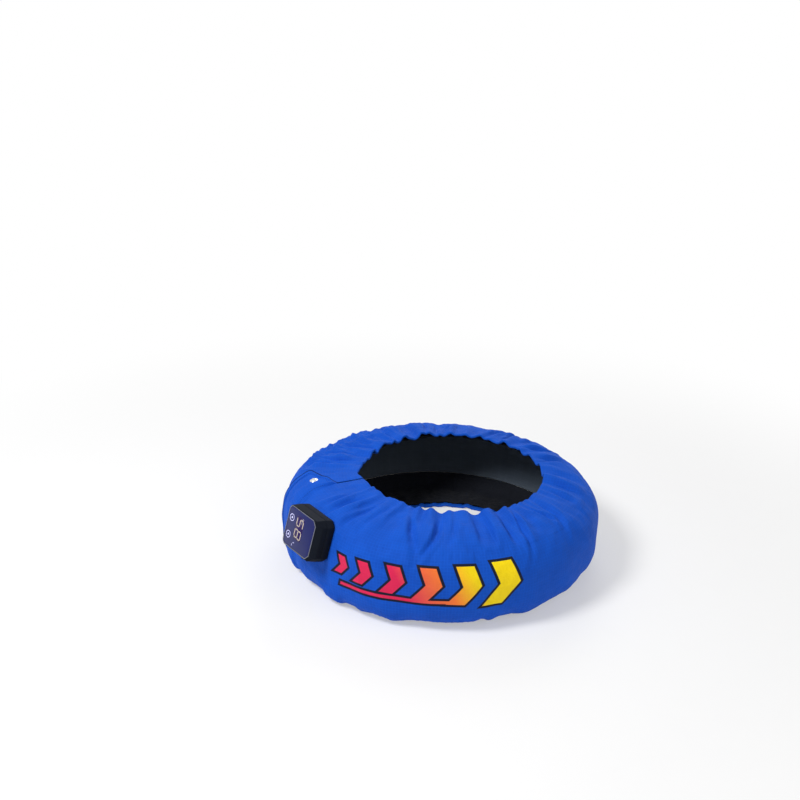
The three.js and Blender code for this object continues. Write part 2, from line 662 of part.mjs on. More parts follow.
// Outline of the case, drawn in by an inset: rounded at the button end and clipped at the nose.
function caseOutline(inset, nose = 0) {
  const left = -CASE_LENGTH / 2 + inset;
  const right = CASE_LENGTH / 2 - inset - nose;
  const half = CASE_WIDTH / 2 - inset;
  const round = CASE_ROUND - inset;
  const clip = CASE_CLIP - inset * (2 - Math.SQRT2);
  return [
    new THREE.Vector2(right - clip, -half),
    new THREE.Vector2(right, -half + clip),
    new THREE.Vector2(right, half - clip),
    new THREE.Vector2(right - clip, half),
    ...arc(left + round, half - round, round, 90, 180, 5),
    ...arc(left + round, -half + round, round, 180, 270, 5),
  ];
}

function addCaseBase() {
  const outline = caseOutline(0);
  const shell = stack([[caseOutline(CASE_EDGE), 0], [outline, CASE_EDGE], [outline, CASE_SPLIT]]);
  const hollow = stack([[caseOutline(CASE_WALL), CASE_WALL], [caseOutline(CASE_WALL), CASE_SPLIT + 1]]);
  const bossRadius = SCREW_RADIUS + FIT_GAP + BOSS_WALL;
  const inside = CASE_WALL - 1;
  const bosses = [
    ...PLATE_SCREWS.map(([x, y]) => rod(bossRadius, inside, PLATE_SCREW_REACH + 1, x, y)),
    ...CASE_SCREWS.map(([x, y]) => rod(bossRadius, inside, CASE_SPLIT, x, y)),
    ...STANDOFFS.map(([x, y]) => rod(STANDOFF_RADIUS, inside, BOARD_HEIGHT - FIT_GAP, x, y)),
  ];
  const holeRadius = SCREW_RADIUS + FIT_GAP;
  const holes = [
    ...PLATE_SCREWS.map(([x, y]) => rod(holeRadius, -1, PLATE_SCREW_REACH + 2, x, y)),
    ...CASE_SCREWS.map(([x, y]) => rod(holeRadius, -1, CASE_SPLIT + 1, x, y)),
    ...CASE_SCREWS.map(([x, y]) => rod(SCREW_HEAD_RADIUS + FIT_GAP, -1, SCREW_HEAD + FIT_GAP, x, y)),
    rod(LEAD_RADIUS + FIT_GAP, -1, CASE_WALL + 1, LEAD_X, LEAD_Y),
    rod(PROBE_RADIUS + FIT_GAP, -1, CASE_WALL + 1, PROBE_X, PROBE_Y),
  ];
  const glandBore = rod(GLAND_RADIUS + FIT_GAP, 0, CASE_WALL * 3, 0, 0, GLAND_SIDES);
  const glandHole = toSolid(glandBore, GLAND_FRAME);
  const body = join(cut(toSolid(shell), [toSolid(hollow)]), bosses.map((boss) => toSolid(boss)));
  const base = cut(body, [...holes.map((hole) => toSolid(hole)), glandHole]);
  addPiece('case_base', toGeometry(base), BLACK_PLASTIC, CASE_FRAME);
}

// Slope that takes off the cover's nose, from the panel's end down to the end wall.
function noseSlope() {
  const end = CASE_LENGTH / 2 - CASE_DRAFT;
  const side = [
    new THREE.Vector2(end - 1.5 * NOSE_LENGTH, CASE_HEIGHT + NOSE_DROP / 2),
    new THREE.Vector2(end + NOSE_LENGTH / 2, CASE_HEIGHT - 1.5 * NOSE_DROP),
    new THREE.Vector2(end + NOSE_LENGTH, CASE_HEIGHT + NOSE_DROP),
  ];
  const slope = stack([[side, -CASE_WIDTH], [side, CASE_WIDTH]]);
  return slope.rotateX(Math.PI / 2);
}

function addCaseCover() {
  const low = CASE_SPLIT + FIT_GAP;
  const shell = stack([
    [caseOutline(0), low],
    [caseOutline(CASE_DRAFT), CASE_HEIGHT - CASE_EDGE],
    [caseOutline(CASE_DRAFT + CASE_EDGE), CASE_HEIGHT],
  ]);
  const hollow = stack([
    [caseOutline(CASE_WALL), low - 1],
    [caseOutline(CASE_DRAFT + CASE_WALL, NOSE_LENGTH), CASE_CEILING],
  ]);
  const recess = caseOutline(CASE_DRAFT + PANEL_MARGIN - FIT_GAP, NOSE_LENGTH - FIT_GAP);
  const holeRadius = SCREW_RADIUS + FIT_GAP;
  const bossRadius = holeRadius + BOSS_WALL;
  const bosses = CASE_SCREWS.map(([x, y]) => rod(bossRadius, low, CASE_CEILING + 1, x, y));
  const window = [DISPLAY_LENGTH + 2 * FIT_GAP, DISPLAY_WIDTH + 2 * FIT_GAP];
  const cuts = [
    noseSlope(),
    stack([[recess, PANEL_FLOOR], [recess, CASE_HEIGHT + 1]]),
    block(...window, CASE_CEILING - 1, CASE_HEIGHT, DISPLAY_X, DISPLAY_Y),
    ...BUTTONS.map(([x, y]) => rod(BUTTON_RADIUS + FIT_GAP, CASE_CEILING - 1, CASE_HEIGHT, x, y)),
    ...CASE_SCREWS.map(([x, y]) => rod(holeRadius, low - 1, CASE_SCREW_REACH + 1, x, y)),
  ];
  const body = join(cut(toSolid(shell), [toSolid(hollow)]), bosses.map((boss) => toSolid(boss)));
  const cover = cut(body, cuts.map((tool) => toSolid(tool)));
  addPiece('case_cover', toGeometry(cover), BLACK_PLASTIC, CASE_FRAME);
}

function addPanel() {
  const outline = caseOutline(CASE_DRAFT + PANEL_MARGIN, NOSE_LENGTH);
  const panel = stack([[outline, PANEL_FLOOR + FIT_GAP], [outline, CASE_HEIGHT]]);
  addPiece('face_panel', panel, INDIGO_PANEL, CASE_FRAME);
}

// Circuit board with what stands on it and hangs under it
function addWorks() {
  const board = block(BOARD_LENGTH, BOARD_WIDTH, BOARD_HEIGHT, BOARD_HEIGHT + BOARD_THICKNESS);
  const top = BOARD_HEIGHT + BOARD_THICKNESS + FIT_GAP;
  const below = BOARD_HEIGHT - FIT_GAP;
  addPiece('circuit_board', board, BOARD_GREEN, CASE_FRAME);
  const display = block(DISPLAY_LENGTH, DISPLAY_WIDTH, top, PANEL_FLOOR, DISPLAY_X, DISPLAY_Y);
  addPiece('display_module', display, DISPLAY_GREY, CASE_FRAME);
  BUTTONS.forEach(([x, y], k) => {
    addPiece(`touch_spring_${k + 1}`, rod(BUTTON_RADIUS, top, PANEL_FLOOR, x, y), STEEL, CASE_FRAME);
  });
  const relay = block(RELAY_LENGTH, RELAY_WIDTH, below - RELAY_HEIGHT, below, RELAY_X, RELAY_Y);
  addPiece('relay', relay, BLACK_PLASTIC, CASE_FRAME);
  const terminalBottom = below - TERMINAL_HEIGHT;
  const terminals = block(TERMINAL_LENGTH, TERMINAL_WIDTH, terminalBottom, below, LEAD_X, LEAD_Y);
  addPiece('terminal_block', terminals, BOARD_GREEN, CASE_FRAME);
}

// Heater lead and temperature probe, which pass through the wall to the mat
const LEAD_TOP = BOARD_HEIGHT - TERMINAL_HEIGHT - 2 * FIT_GAP;
const PROBE_HEAD = [PROBE_HEAD_LENGTH, PROBE_HEAD_WIDTH];

function addLeads() {
  const headBottom = MAT_TOP + FIT_GAP;
  const lead = rod(LEAD_RADIUS, headBottom, LEAD_TOP, LEAD_X, LEAD_Y);
  addPiece('heater_lead', lead, LEAD_GREY, CASE_FRAME);
  const headTop = headBottom + PROBE_HEAD_THICKNESS;
  const head = toSolid(block(...PROBE_HEAD, headBottom, headTop, PROBE_X, PROBE_Y));
  const stem = toSolid(rod(PROBE_RADIUS, headTop - 1, BOARD_HEIGHT - FIT_GAP, PROBE_X, PROBE_Y));
  addPiece('temperature_probe', toGeometry(head.add(stem)), LEAD_GREY, CASE_FRAME);
}

// Pan-headed screw that points along +Z.
function screw(x, y, bottom, reach) {
  const head = rod(SCREW_HEAD_RADIUS, bottom, bottom + SCREW_HEAD, x, y);
  const shank = rod(SCREW_RADIUS, bottom + SCREW_HEAD / 2, reach, x, y);
  return toGeometry(toSolid(head).add(toSolid(shank)));
}

function addFixings() {
  const holes = [
    ...PLATE_SCREWS.map(([x, y]) => rod(SCREW_RADIUS + FIT_GAP, PLATE_BOTTOM - 1, PLATE_TOP + 1, x, y)),
    rod(LEAD_RADIUS + FIT_GAP, PLATE_BOTTOM - 1, PLATE_TOP + 1, LEAD_X, LEAD_Y),
    rod(PROBE_RADIUS + FIT_GAP, PLATE_BOTTOM - 1, PLATE_TOP + 1, PROBE_X, PROBE_Y),
  ];
  const plate = carve(block(PLATE_LENGTH, PLATE_WIDTH, PLATE_BOTTOM, PLATE_TOP), holes);
  addPiece('mounting_plate', plate, STEEL, CASE_FRAME);
  const plateScrewBottom = PLATE_BOTTOM - FIT_GAP - SCREW_HEAD;
  PLATE_SCREWS.forEach(([x, y], k) => {
    const made = screw(x, y, plateScrewBottom, PLATE_SCREW_REACH);
    addPiece(`plate_screw_${k + 1}`, made, STEEL, CASE_FRAME);
  });
  CASE_SCREWS.forEach(([x, y], k) => {
    addPiece(`case_screw_${k + 1}`, screw(x, y, 0, CASE_SCREW_REACH), STEEL, CASE_FRAME);
  });
}

// Frame in the case's own frame at the lower wall's inner side, with z pointing out through the wall.
const GLAND_FRAME = new THREE.Matrix4()
  .makeRotationX(Math.PI / 2)
  .setPosition(GLAND_X, -CASE_WIDTH / 2 + CASE_WALL * 1.5, GLAND_HEIGHT);

function addGland() {
  const wall = CASE_WALL * 1.5 + FIT_GAP;
  const gland = turned([
    [GLAND_BORE_RADIUS, -CASE_WALL],
    [GLAND_RADIUS, -CASE_WALL],
    [GLAND_RADIUS, wall],
    [GLAND_NUT_RADIUS, wall],
    [GLAND_NUT_RADIUS, wall + GLAND_NUT_LENGTH],
    [GLAND_RADIUS, wall + GLAND_NUT_LENGTH + 1],
    [GLAND_BORE_RADIUS + GLAND_LIP, wall + GLAND_LENGTH],
    [GLAND_BORE_RADIUS, wall + GLAND_LENGTH],
  ], GLAND_SIDES);
  addPiece('cord_gland', gland, BLACK_PLASTIC, CASE_FRAME.clone().multiply(GLAND_FRAME));
}

// Plies of the tread, pierced for what passes through them to the controller
function addPlies() {
  const through = [
    ...PLATE_SCREWS.map(([x, y]) => rod(SCREW_RADIUS + FIT_GAP, PLATE_BOTTOM, 1, x, y)),
    rod(LEAD_RADIUS + FIT_GAP, MAT_TOP - FIT_GAP, 1, LEAD_X, LEAD_Y),
    rod(PROBE_RADIUS + FIT_GAP, MAT_TOP - FIT_GAP, 1, PROBE_X, PROBE_Y),
  ];
  const panel = ring(RING_ANGLES, (angle) => plyOutline(angle, SEAM_HEIGHT, 0, CLOTH_THICKNESS));
  addPiece('tread_panel', carve(panel, through, CASE_FRAME), BLUE_CLOTH);
  const clear = 2 * FIT_GAP;
  const pocket = block(PLATE_LENGTH + clear, PLATE_WIDTH + clear, PLATE_BOTTOM - SCREW_HEAD - clear, 1);
  const probePocket = block(
    PROBE_HEAD_LENGTH + clear,
    PROBE_HEAD_WIDTH + clear,
    MAT_TOP - FIT_GAP,
    MAT_TOP + PROBE_HEAD_THICKNESS + clear,
    PROBE_X,
    PROBE_Y,
  );
  const batting = ring(RING_ANGLES, (angle) => {
    return plyOutline(angle, BATTING_HEIGHT / 2, BATTING_DEPTH, BATTING_BACK_DEPTH);
  });
  addPiece('batting', carve(batting, [...through, pocket, probePocket], CASE_FRAME), WHITE_BATTING);
  const mat = ring(RING_ANGLES, (angle) => {
    return plyOutline(angle, MAT_HEIGHT / 2, MAT_DEPTH, MAT_BACK_DEPTH);
  });
  addPiece('heating_mat', mat, GREY_MAT);
}

addPlies();
const upperSkirt = addSkirt(UPPER, 'upper', UPPER_GATHERS, 3);
const rivetReach = 3 * CLOTH_THICKNESS;
const rivetHole = rod(STUD_STEM_RADIUS + FIT_GAP, -rivetReach, rivetReach / 3, 0, 0, STUD_SIDES);
addPiece('upper_skirt', carve(upperSkirt, [rivetHole], STUD_FRAME), BLUE_CLOTH);
addPiece('lower_skirt', addSkirt(LOWER, 'lower', LOWER_GATHERS, 11), BLUE_CLOTH);
addClosure();
addPressStud();
addCaseBase();
addCaseCover();
addPanel();
addWorks();
addLeads();
addFixings();
addGland();

// The part's own origin is under the middle of its box, on the floor.
warmer.updateMatrixWorld(true);
const box = new THREE.Box3().setFromObject(warmer, true);
const middle = box.getCenter(new THREE.Vector3());
warmer.position.set(-middle.x, -middle.y, -box.min.z);

export default warmer;
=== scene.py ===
"""Dressed scene of a front tire warmer that lies flat on the floor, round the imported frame.

The cover is one cloth surface that is cut, gathered and simulated as a whole, and then
parted at its seams into the tread panel and the two skirts. Lengths are in metres and
angles in degrees, counterclockwise from +X round the ring's axis.
"""

import logging
import math
from dataclasses import dataclass, field
from enum import Enum
from typing import Any, Sequence

import bpy
import numpy as np
from mathutils import Matrix, Vector


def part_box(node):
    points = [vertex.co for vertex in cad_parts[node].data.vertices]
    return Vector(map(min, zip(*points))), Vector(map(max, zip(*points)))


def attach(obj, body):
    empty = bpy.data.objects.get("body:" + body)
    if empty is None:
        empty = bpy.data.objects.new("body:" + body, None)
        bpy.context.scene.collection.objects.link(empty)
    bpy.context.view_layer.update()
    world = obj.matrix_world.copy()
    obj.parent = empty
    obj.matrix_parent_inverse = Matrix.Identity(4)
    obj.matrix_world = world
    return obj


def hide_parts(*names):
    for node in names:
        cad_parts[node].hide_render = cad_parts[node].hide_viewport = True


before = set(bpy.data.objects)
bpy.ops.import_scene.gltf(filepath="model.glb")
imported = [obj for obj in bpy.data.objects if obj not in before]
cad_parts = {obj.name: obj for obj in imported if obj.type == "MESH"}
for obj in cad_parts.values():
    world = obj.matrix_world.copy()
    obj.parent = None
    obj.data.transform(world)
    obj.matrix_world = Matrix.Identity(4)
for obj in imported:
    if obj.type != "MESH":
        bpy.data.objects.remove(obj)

logging.basicConfig(level=logging.INFO, format="%(message)s")
log = logging.getLogger("warmer")

BODY = "root"
MM = 0.001
SEED = 20
FLOOR_GAP = 0.0003
BOARD_HEIGHT = 0.0198


class Slot(Enum):
    """Material slots of the record."""

    COVER = "cover_cloth"
    DARK_CLOTH = "dark_cloth"
    HEATER = "heater_face"
    BATTING = "batting_felt"
    TAPE = "fastener_tape"
    CASE = "case_plastic"
    PANEL = "panel_film"
    NICKEL = "nickel_plate"


class Side(Enum):
    """The two skirts of the cover: the upper one faces the eye, the lower one the floor."""

    UPPER = 1
    LOWER = -1


# Small helpers on arrays


def ease(x: np.ndarray) -> np.ndarray:
    """Smooth step from 0 to 1: 3x^2 - 2x^3 on x held between 0 and 1."""
    held = np.clip(x, 0.0, 1.0)
    return held * held * (3.0 - 2.0 * held)


def mix(a: Any, b: Any, t: Any) -> Any:
    """Straight mix of a and b by t."""
    return a + (b - a) * t


def turn_between(a: Any, b: Any) -> Any:
    """Signed angle in degrees from b to a, between -180 and 180."""
    return np.mod(a - b + 180.0, 360.0) - 180.0


def soft_min(a: np.ndarray, b: np.ndarray, width: float) -> np.ndarray:
    """Smaller of two values, with the crease between them rounded over a width."""
    near = np.maximum(width - np.abs(a - b), 0.0) / width
    return np.minimum(a, b) - near * near * width / 4.0


def ripple(x: np.ndarray, count: float, seed: int, parts: int = 5) -> np.ndarray:
    """Smooth seeded wave from -1 to 1: sines of neighbouring frequencies round a count.

    Args:
        x: positions in turns.
        count: mean number of waves in one turn.
        seed: picks the phases.
        parts: how many sines are added.

    Returns:
        The wave at each position.
    """
    draws = np.random.default_rng(SEED + seed)
    shares = np.linspace(0.72, 1.31, parts)
    phases = draws.uniform(0.0, 2.0 * math.pi, parts)
    waves = [math.sqrt(2.0 / parts) * np.sin(2.0 * math.pi * count * s * x + p)
             for s, p in zip(shares, phases)]
    return np.clip(np.sum(waves, axis=0) * 0.8, -1.0, 1.0)


def refine(grid: np.ndarray, axis: int) -> np.ndarray:
    """Grid with twice the spacings along an axis, on a cubic through each four points."""
    g = np.moveaxis(grid, axis, 0)
    wide = np.concatenate([2.0 * g[:1] - g[1:2], g, 2.0 * g[-1:] - g[-2:-1]])
    middle = (9.0 * (wide[1:-2] + wide[2:-1]) - wide[:-3] - wide[3:]) / 16.0
    fine = np.empty((2 * len(g) - 1,) + g.shape[1:])
    fine[0::2] = g
    fine[1::2] = middle
    return np.moveaxis(fine, 0, axis)


def finer(grid: np.ndarray) -> np.ndarray:
    """Grid refined along both of its axes."""
    return refine(refine(grid, 0), 1)


def normals_of(grid: np.ndarray) -> np.ndarray:
    """Unit normals of a grid of points: its step along columns crossed with that along rows."""
    across = np.gradient(grid, axis=1)
    along = np.gradient(grid, axis=0)
    normal = np.cross(across, along)
    return normal / np.maximum(np.linalg.norm(normal, axis=2, keepdims=True), 1e-12)


def quads(rows: int, cols: int, start: int = 0) -> np.ndarray:
    """Faces of a grid of rows by columns, wound so that they face along columns x rows."""
    r, c = np.meshgrid(np.arange(rows - 1), np.arange(cols - 1), indexing="ij")
    a = start + r * cols + c
    return np.stack([a, a + 1, a + cols + 1, a + cols], axis=-1).reshape(-1, 4)


# Shaders


def join(tree: bpy.types.NodeTree, *pairs: tuple) -> None:
    """Links each pair of an output socket and an input socket."""
    for output, socket in pairs:
        tree.links.new(output, socket)


class Wire:
    """Output socket whose arithmetic adds Math nodes to its shader."""

    def __init__(self, shader: "Shader", socket: Any) -> None:
        """Wraps a socket of a shader."""
        self.shader = shader
        self.socket = socket

    def _math(self, operation: str, *values: Any) -> "Wire":
        """Math node of one operation on the values."""
        inputs = {k: v for k, v in enumerate(values)}
        return self.shader.node("ShaderNodeMath", {"operation": operation}, inputs)

    def __add__(self, other: Any) -> "Wire":
        """Sum."""
        return self._math("ADD", self, other)

    __radd__ = __add__

    def __sub__(self, other: Any) -> "Wire":
        """Difference."""
        return self._math("SUBTRACT", self, other)

    def __rsub__(self, other: Any) -> "Wire":
        """Difference from a plain number."""
        return self._math("SUBTRACT", other, self)

    def __mul__(self, other: Any) -> "Wire":
        """Product."""
        return self._math("MULTIPLY", self, other)

    __rmul__ = __mul__

    def __truediv__(self, other: Any) -> "Wire":
        """Quotient."""
        return self._math("DIVIDE", self, other)

    def __abs__(self) -> "Wire":
        """Size without its sign."""
        return self._math("ABSOLUTE", self)

    def least(self, other: Any) -> "Wire":
        """Smaller of the two."""
        return self._math("MINIMUM", self, other)

    def most(self, other: Any) -> "Wire":
        """Larger of the two."""
        return self._math("MAXIMUM", self, other)

    def wave(self, pitch: float) -> "Wire":
        """Sine with one wave in each pitch."""
        return self._math("SINE", self * (2.0 * math.pi / pitch))

    def fold(self, pitch: float) -> "Wire":
        """Distance from the nearest multiple of a pitch."""
        return self._math("PINGPONG", self, pitch / 2.0)

    def below(self, limit: float, soft: float) -> "Wire":
        """1 under a limit and 0 over it, with an edge of a soft width."""
        settings = {"interpolation_type": "SMOOTHSTEP"}
        inputs = {"Value": self, "From Min": limit - soft, "From Max": limit + soft,
                  "To Min": 1.0, "To Max": 0.0}
        return self.shader.node("ShaderNodeMapRange", settings, inputs)


class Shader:
    """Material under construction, with one Principled shader."""

    def __init__(self, name: str) -> None:
        """Starts a material that holds only its Principled shader and its output."""
        self.material = bpy.data.materials.new(name)
        self.material.use_nodes = True
        self.tree = self.material.node_tree
        self.surface = self.tree.nodes["Principled BSDF"]

    def node(self, kind: str, settings: dict | None = None, inputs: dict | None = None,
             output: int | str = 0) -> Wire:
        """Adds a node.

        Args:
            kind: type of the node.
            settings: its properties, set first; "stops" are a ramp's (place, colour) pairs.
            inputs: values or wires by the socket's name or number.
            output: name or number of the output that is returned.

        Returns:
            The output socket.
        """
        made = self.tree.nodes.new(kind)
        for key, value in (settings or {}).items():
            if key == "stops":
                ramp = made.color_ramp.elements
                while len(ramp) < len(value):
                    ramp.new(1.0)
                for element, (place, colour) in zip(ramp, value):
                    element.position = place
                    element.color = (*colour, 1.0)
            else:
                setattr(made, key, value)
        for key, value in (inputs or {}).items():
            self.feed(made.inputs[key], value)
        outputs = [s for s in made.outputs if s.enabled]
        found = made.outputs[output] if isinstance(output, str) else outputs[output]
        return Wire(self, found)

    def feed(self, socket: Any, value: Any) -> None:
        """Links a wire to a socket, or sets the socket's own value."""
        if isinstance(value, Wire):
            self.tree.links.new(value.socket, socket)
        elif isinstance(value, tuple) and len(value) == 3 and socket.type == "RGBA":
            socket.default_value = (*value, 1.0)
        else:
            socket.default_value = value

    def set(self, **values: Any) -> None:
        """Feeds the Principled shader's sockets, whose names have _ for a space."""
        for key, value in values.items():
            self.feed(self.surface.inputs[key.replace("_", " ")], value)

    def object_place(self) -> Wire:
        """Position in the object's own coordinates."""
        return self.node("ShaderNodeTexCoord", output="Object")

    def cloth_place(self) -> tuple[Wire, Wire]:
        """Distances along and across the cloth, in metres, from the piece's UV map."""
        uv = self.node("ShaderNodeTexCoord", output="UV")
        x = self.node("ShaderNodeSeparateXYZ", {}, {0: uv}, "X")
        y = self.node("ShaderNodeSeparateXYZ", {}, {0: uv}, "Y")
        return x, y

    def noise(self, place: Wire, size: float, detail: float = 2.0) -> Wire:
        """Noise from 0 to 1 with features of a size in metres."""
        settings = {"noise_dimensions": "3D"}
        inputs = {"Vector": place, "Scale": 1.0 / size, "Detail": detail}
        return self.node("ShaderNodeTexNoise", settings, inputs, "Fac")

    def blend(self, factor: Any, a: Any, b: Any) -> Wire:
        """Mix of two colours."""
        mixed = self.tree.nodes.new("ShaderNodeMix")
        mixed.data_type = "RGBA"
        for key, value in (("Factor", factor), (6, a), (7, b)):
            self.feed(mixed.inputs[key], value)
        return Wire(self, mixed.outputs[2])

    def bump(self, height: Wire, depth: float, below: Wire | None = None) -> Wire:
        """Normal of a height from 0 to 1 over a depth in metres, laid on another normal."""
        inputs = {"Height": height, "Distance": depth, "Strength": 1.0}
        if below is not None:
            inputs["Normal"] = below
        return self.node("ShaderNodeBump", {}, inputs, "Normal")


@dataclass(frozen=True)
class PrintDesign:
    """Racing arrows printed on the wall: chevrons that grow towards the front arrow."""

    left: float = 0.186
    length: float = 0.375
    middle: float = 0.020
    slant: float = 0.22
    point: float = 0.60
    outline: float = 0.0050
    edge_soft: float = 0.0004
    count: int = 6
    pink: tuple = (0.70, 0.020, 0.085)
    orange: tuple = (0.90, 0.20, 0.035)
    yellow: tuple = (0.95, 0.70, 0.006)
    dark: tuple = (0.006, 0.008, 0.020)

    def paint(self, shader: Shader, x: Wire, y: Wire, cloth: Wire) -> tuple[Wire, Wire]:
        """Lays the print on a cloth colour.

        Each chevron is |x + point|y| - centre| < half its width and |y| < its half height.

        Args:
            shader: the cloth's shader.
            x: distance along the cloth.
            y: distance across the cloth.
            cloth: colour of the bare cloth.

        Returns:
            The colour, and a mask that is 1 on the print.
        """
        up = y - self.middle
        run = x - self.left - up * self.slant
        tipped = run + abs(up) * self.point
        distance = None
        for k in range(self.count):
            share = k / (self.count - 1)
            centre = self.length * (0.04 + 0.86 * share ** 1.15)
            half_width = 0.0085 + 0.0110 * share
            half_height = 0.019 + 0.023 * share
            bar = (abs(tipped - centre) - half_width) * 0.85
            one = bar.most(abs(up) - half_height)
            distance = one if distance is None else distance.least(one)
        dash = (abs(run - self.length * 0.34) - self.length * 0.30) * 0.95
        dash = dash.most(abs(up + 0.0400 - run * 0.03) - 0.0032)
        distance = distance.least(dash)
        stops = [(0.0, self.pink), (0.34, self.pink), (0.58, self.orange), (0.74, self.yellow)]
        tint = shader.node("ShaderNodeValToRGB", {"stops": stops},
                           {"Fac": (run + up * 0.8) / self.length}, "Color")
        outlined = distance.below(self.outline, self.edge_soft)
        filled = distance.below(0.0, self.edge_soft)
        colour = shader.blend(outlined, cloth, self.dark)
        return shader.blend(filled, colour, tint), outlined


@dataclass(frozen=True)
class ClothFinish:
    """Woven cloth with a ripstop grid, whose threads follow the piece's UV map, with painted shade
    in its creases.
    """

    name: str
    # light and dark are the cloth's lit and shaded tones, so the blend between them paints light
    # and shade.
    light: tuple
    dark: tuple
    roughness: float = 0.70
    sheen: float = 0.12
    sheen_tint: tuple = (0.10, 0.30, 1.0)
    specular: float = 0.10
    cell: float = 0.0062
    line: float = 0.0004
    line_soft: float = 0.0003
    thread: float = 0.0011
    weave_depth: float = 0.00015
    crinkle_depth: float = 0.0030
    design: PrintDesign | None = None

    def build(self) -> bpy.types.Material:
        """Makes the material."""
        shader = Shader(self.name)
        x, y = shader.cloth_place()
        place = shader.object_place()
        lines = [way.fold(self.cell).below(self.line, self.line_soft) for way in (x, y)]
        grid = lines[0].most(lines[1])
        weave = x.wave(self.thread) * y.wave(self.thread) * 0.5 + 0.5
        cloudy = shader.noise(place, 0.055, 3.0)
        crinkle_and_painted_shade = shader.noise(place, 0.022, 4.0)
        # Painted shade: the same noise that bumps the cloth darkens it in the bump's hollows;
        # cloudy is random tone and grid the ripstop lines.
        shade = cloudy * 0.60 + crinkle_and_painted_shade * 0.40 + grid * 0.28 - 0.08
        colour = shader.blend(shade, self.dark, self.light)
        gloss = self.roughness + (cloudy - 0.5) * 0.12
        if self.design is not None:
            colour, printed = self.design.paint(shader, x, y, colour)
            gloss = gloss - printed * 0.20
        creased = shader.bump(crinkle_and_painted_shade, self.crinkle_depth)
        woven = shader.bump(weave * 0.6 + grid * 0.4, self.weave_depth, creased)
        shader.set(Base_Color=colour, Roughness=gloss, Normal=woven, Sheen_Weight=self.sheen,
                   Sheen_Roughness=0.45, Sheen_Tint=self.sheen_tint,
                   Specular_IOR_Level=self.specular)
        return shader.material


@dataclass(frozen=True)
class PlainFinish:
    """Moulded, coated, felted or plated surface with grain and cloudy wear."""

    name: str
    colour: tuple
    worn: tuple
    roughness: float
    grain: float
    depth: float
    metallic: float = 0.0
    coat: float = 0.0
    specular: float = 0.5

    def build(self) -> bpy.types.Material:
        """Makes the material."""
        shader = Shader(self.name)
        place = shader.object_place()
        grain = shader.noise(place, self.grain, 2.0)
        cloudy = shader.noise(place, 0.03, 3.0)
        colour = shader.blend(cloudy * 0.7 + grain * 0.3, self.colour, self.worn)
        rough = (cloudy - 0.5) * 0.16 + (grain - 0.5) * 0.08 + self.roughness
        shader.set(Base_Color=colour, Roughness=rough, Normal=shader.bump(grain, self.depth),
                   Metallic=self.metallic, Coat_Weight=self.coat, Coat_Roughness=0.08,
                   Specular_IOR_Level=self.specular)
        return shader.material


@dataclass(frozen=True)
class GlowFinish:
    """Mark behind the face film that glows: the display's lit segments, and printed marks whose
    glow is painted light.
    """

    name: str
    colour: tuple
    glow: float

    def build(self) -> bpy.types.Material:
        """Makes the material, a little uneven as a printed film is."""
        shader = Shader(self.name)
        speck = shader.noise(shader.object_place(), 0.0011)
        pale = tuple(min(1.0, c * 1.15) for c in self.colour)
        tint = shader.blend(speck, self.colour, pale)
        shader.set(Base_Color=tint, Roughness=0.3, Emission_Color=tint,
                   Emission_Strength=self.glow)
        return shader.material


@dataclass(frozen=True)
class FloorFinish:
    """Matte white floor that fades into the white backdrop, for what is seen and mirrored."""

    colour: tuple = (0.90, 0.90, 0.90)
    near: float = 0.62
    far: float = 1.5
    lift: float = 0.40

    def build(self) -> bpy.types.Material:
        """Makes the material: a part of white is mixed in near the warmer, and all of it far."""
        shader = Shader("pale_floor")
        place = shader.object_place()
        speck = shader.noise(place, 0.05)
        tint = shader.blend(speck, self.colour, tuple(c * 0.985 for c in self.colour))
        shader.set(Base_Color=tint, Roughness=0.95, Specular_IOR_Level=0.05)
        distance = shader.node("ShaderNodeVectorMath", {"operation": "LENGTH"}, {0: place},
                               "Value")
        fade = 1.0 - distance.below((self.near + self.far) / 2.0, (self.far - self.near) / 2.0)
        rays = [shader.node("ShaderNodeLightPath", output=name)
                for name in ("Is Camera Ray", "Is Glossy Ray", "Is Transmission Ray")]
        seen = rays[0].most(rays[1]).most(rays[2])
        part = seen * (self.lift + fade * (1.0 - self.lift))
        glow = shader.tree.nodes.new("ShaderNodeEmission")
        both = shader.tree.nodes.new("ShaderNodeMixShader")
        out = shader.tree.nodes["Material Output"]
        join(shader.tree, (part.socket, both.inputs[0]),
             (shader.surface.outputs[0], both.inputs[1]), (glow.outputs[0], both.inputs[2]),
             (both.outputs[0], out.inputs[0]))
        return shader.material


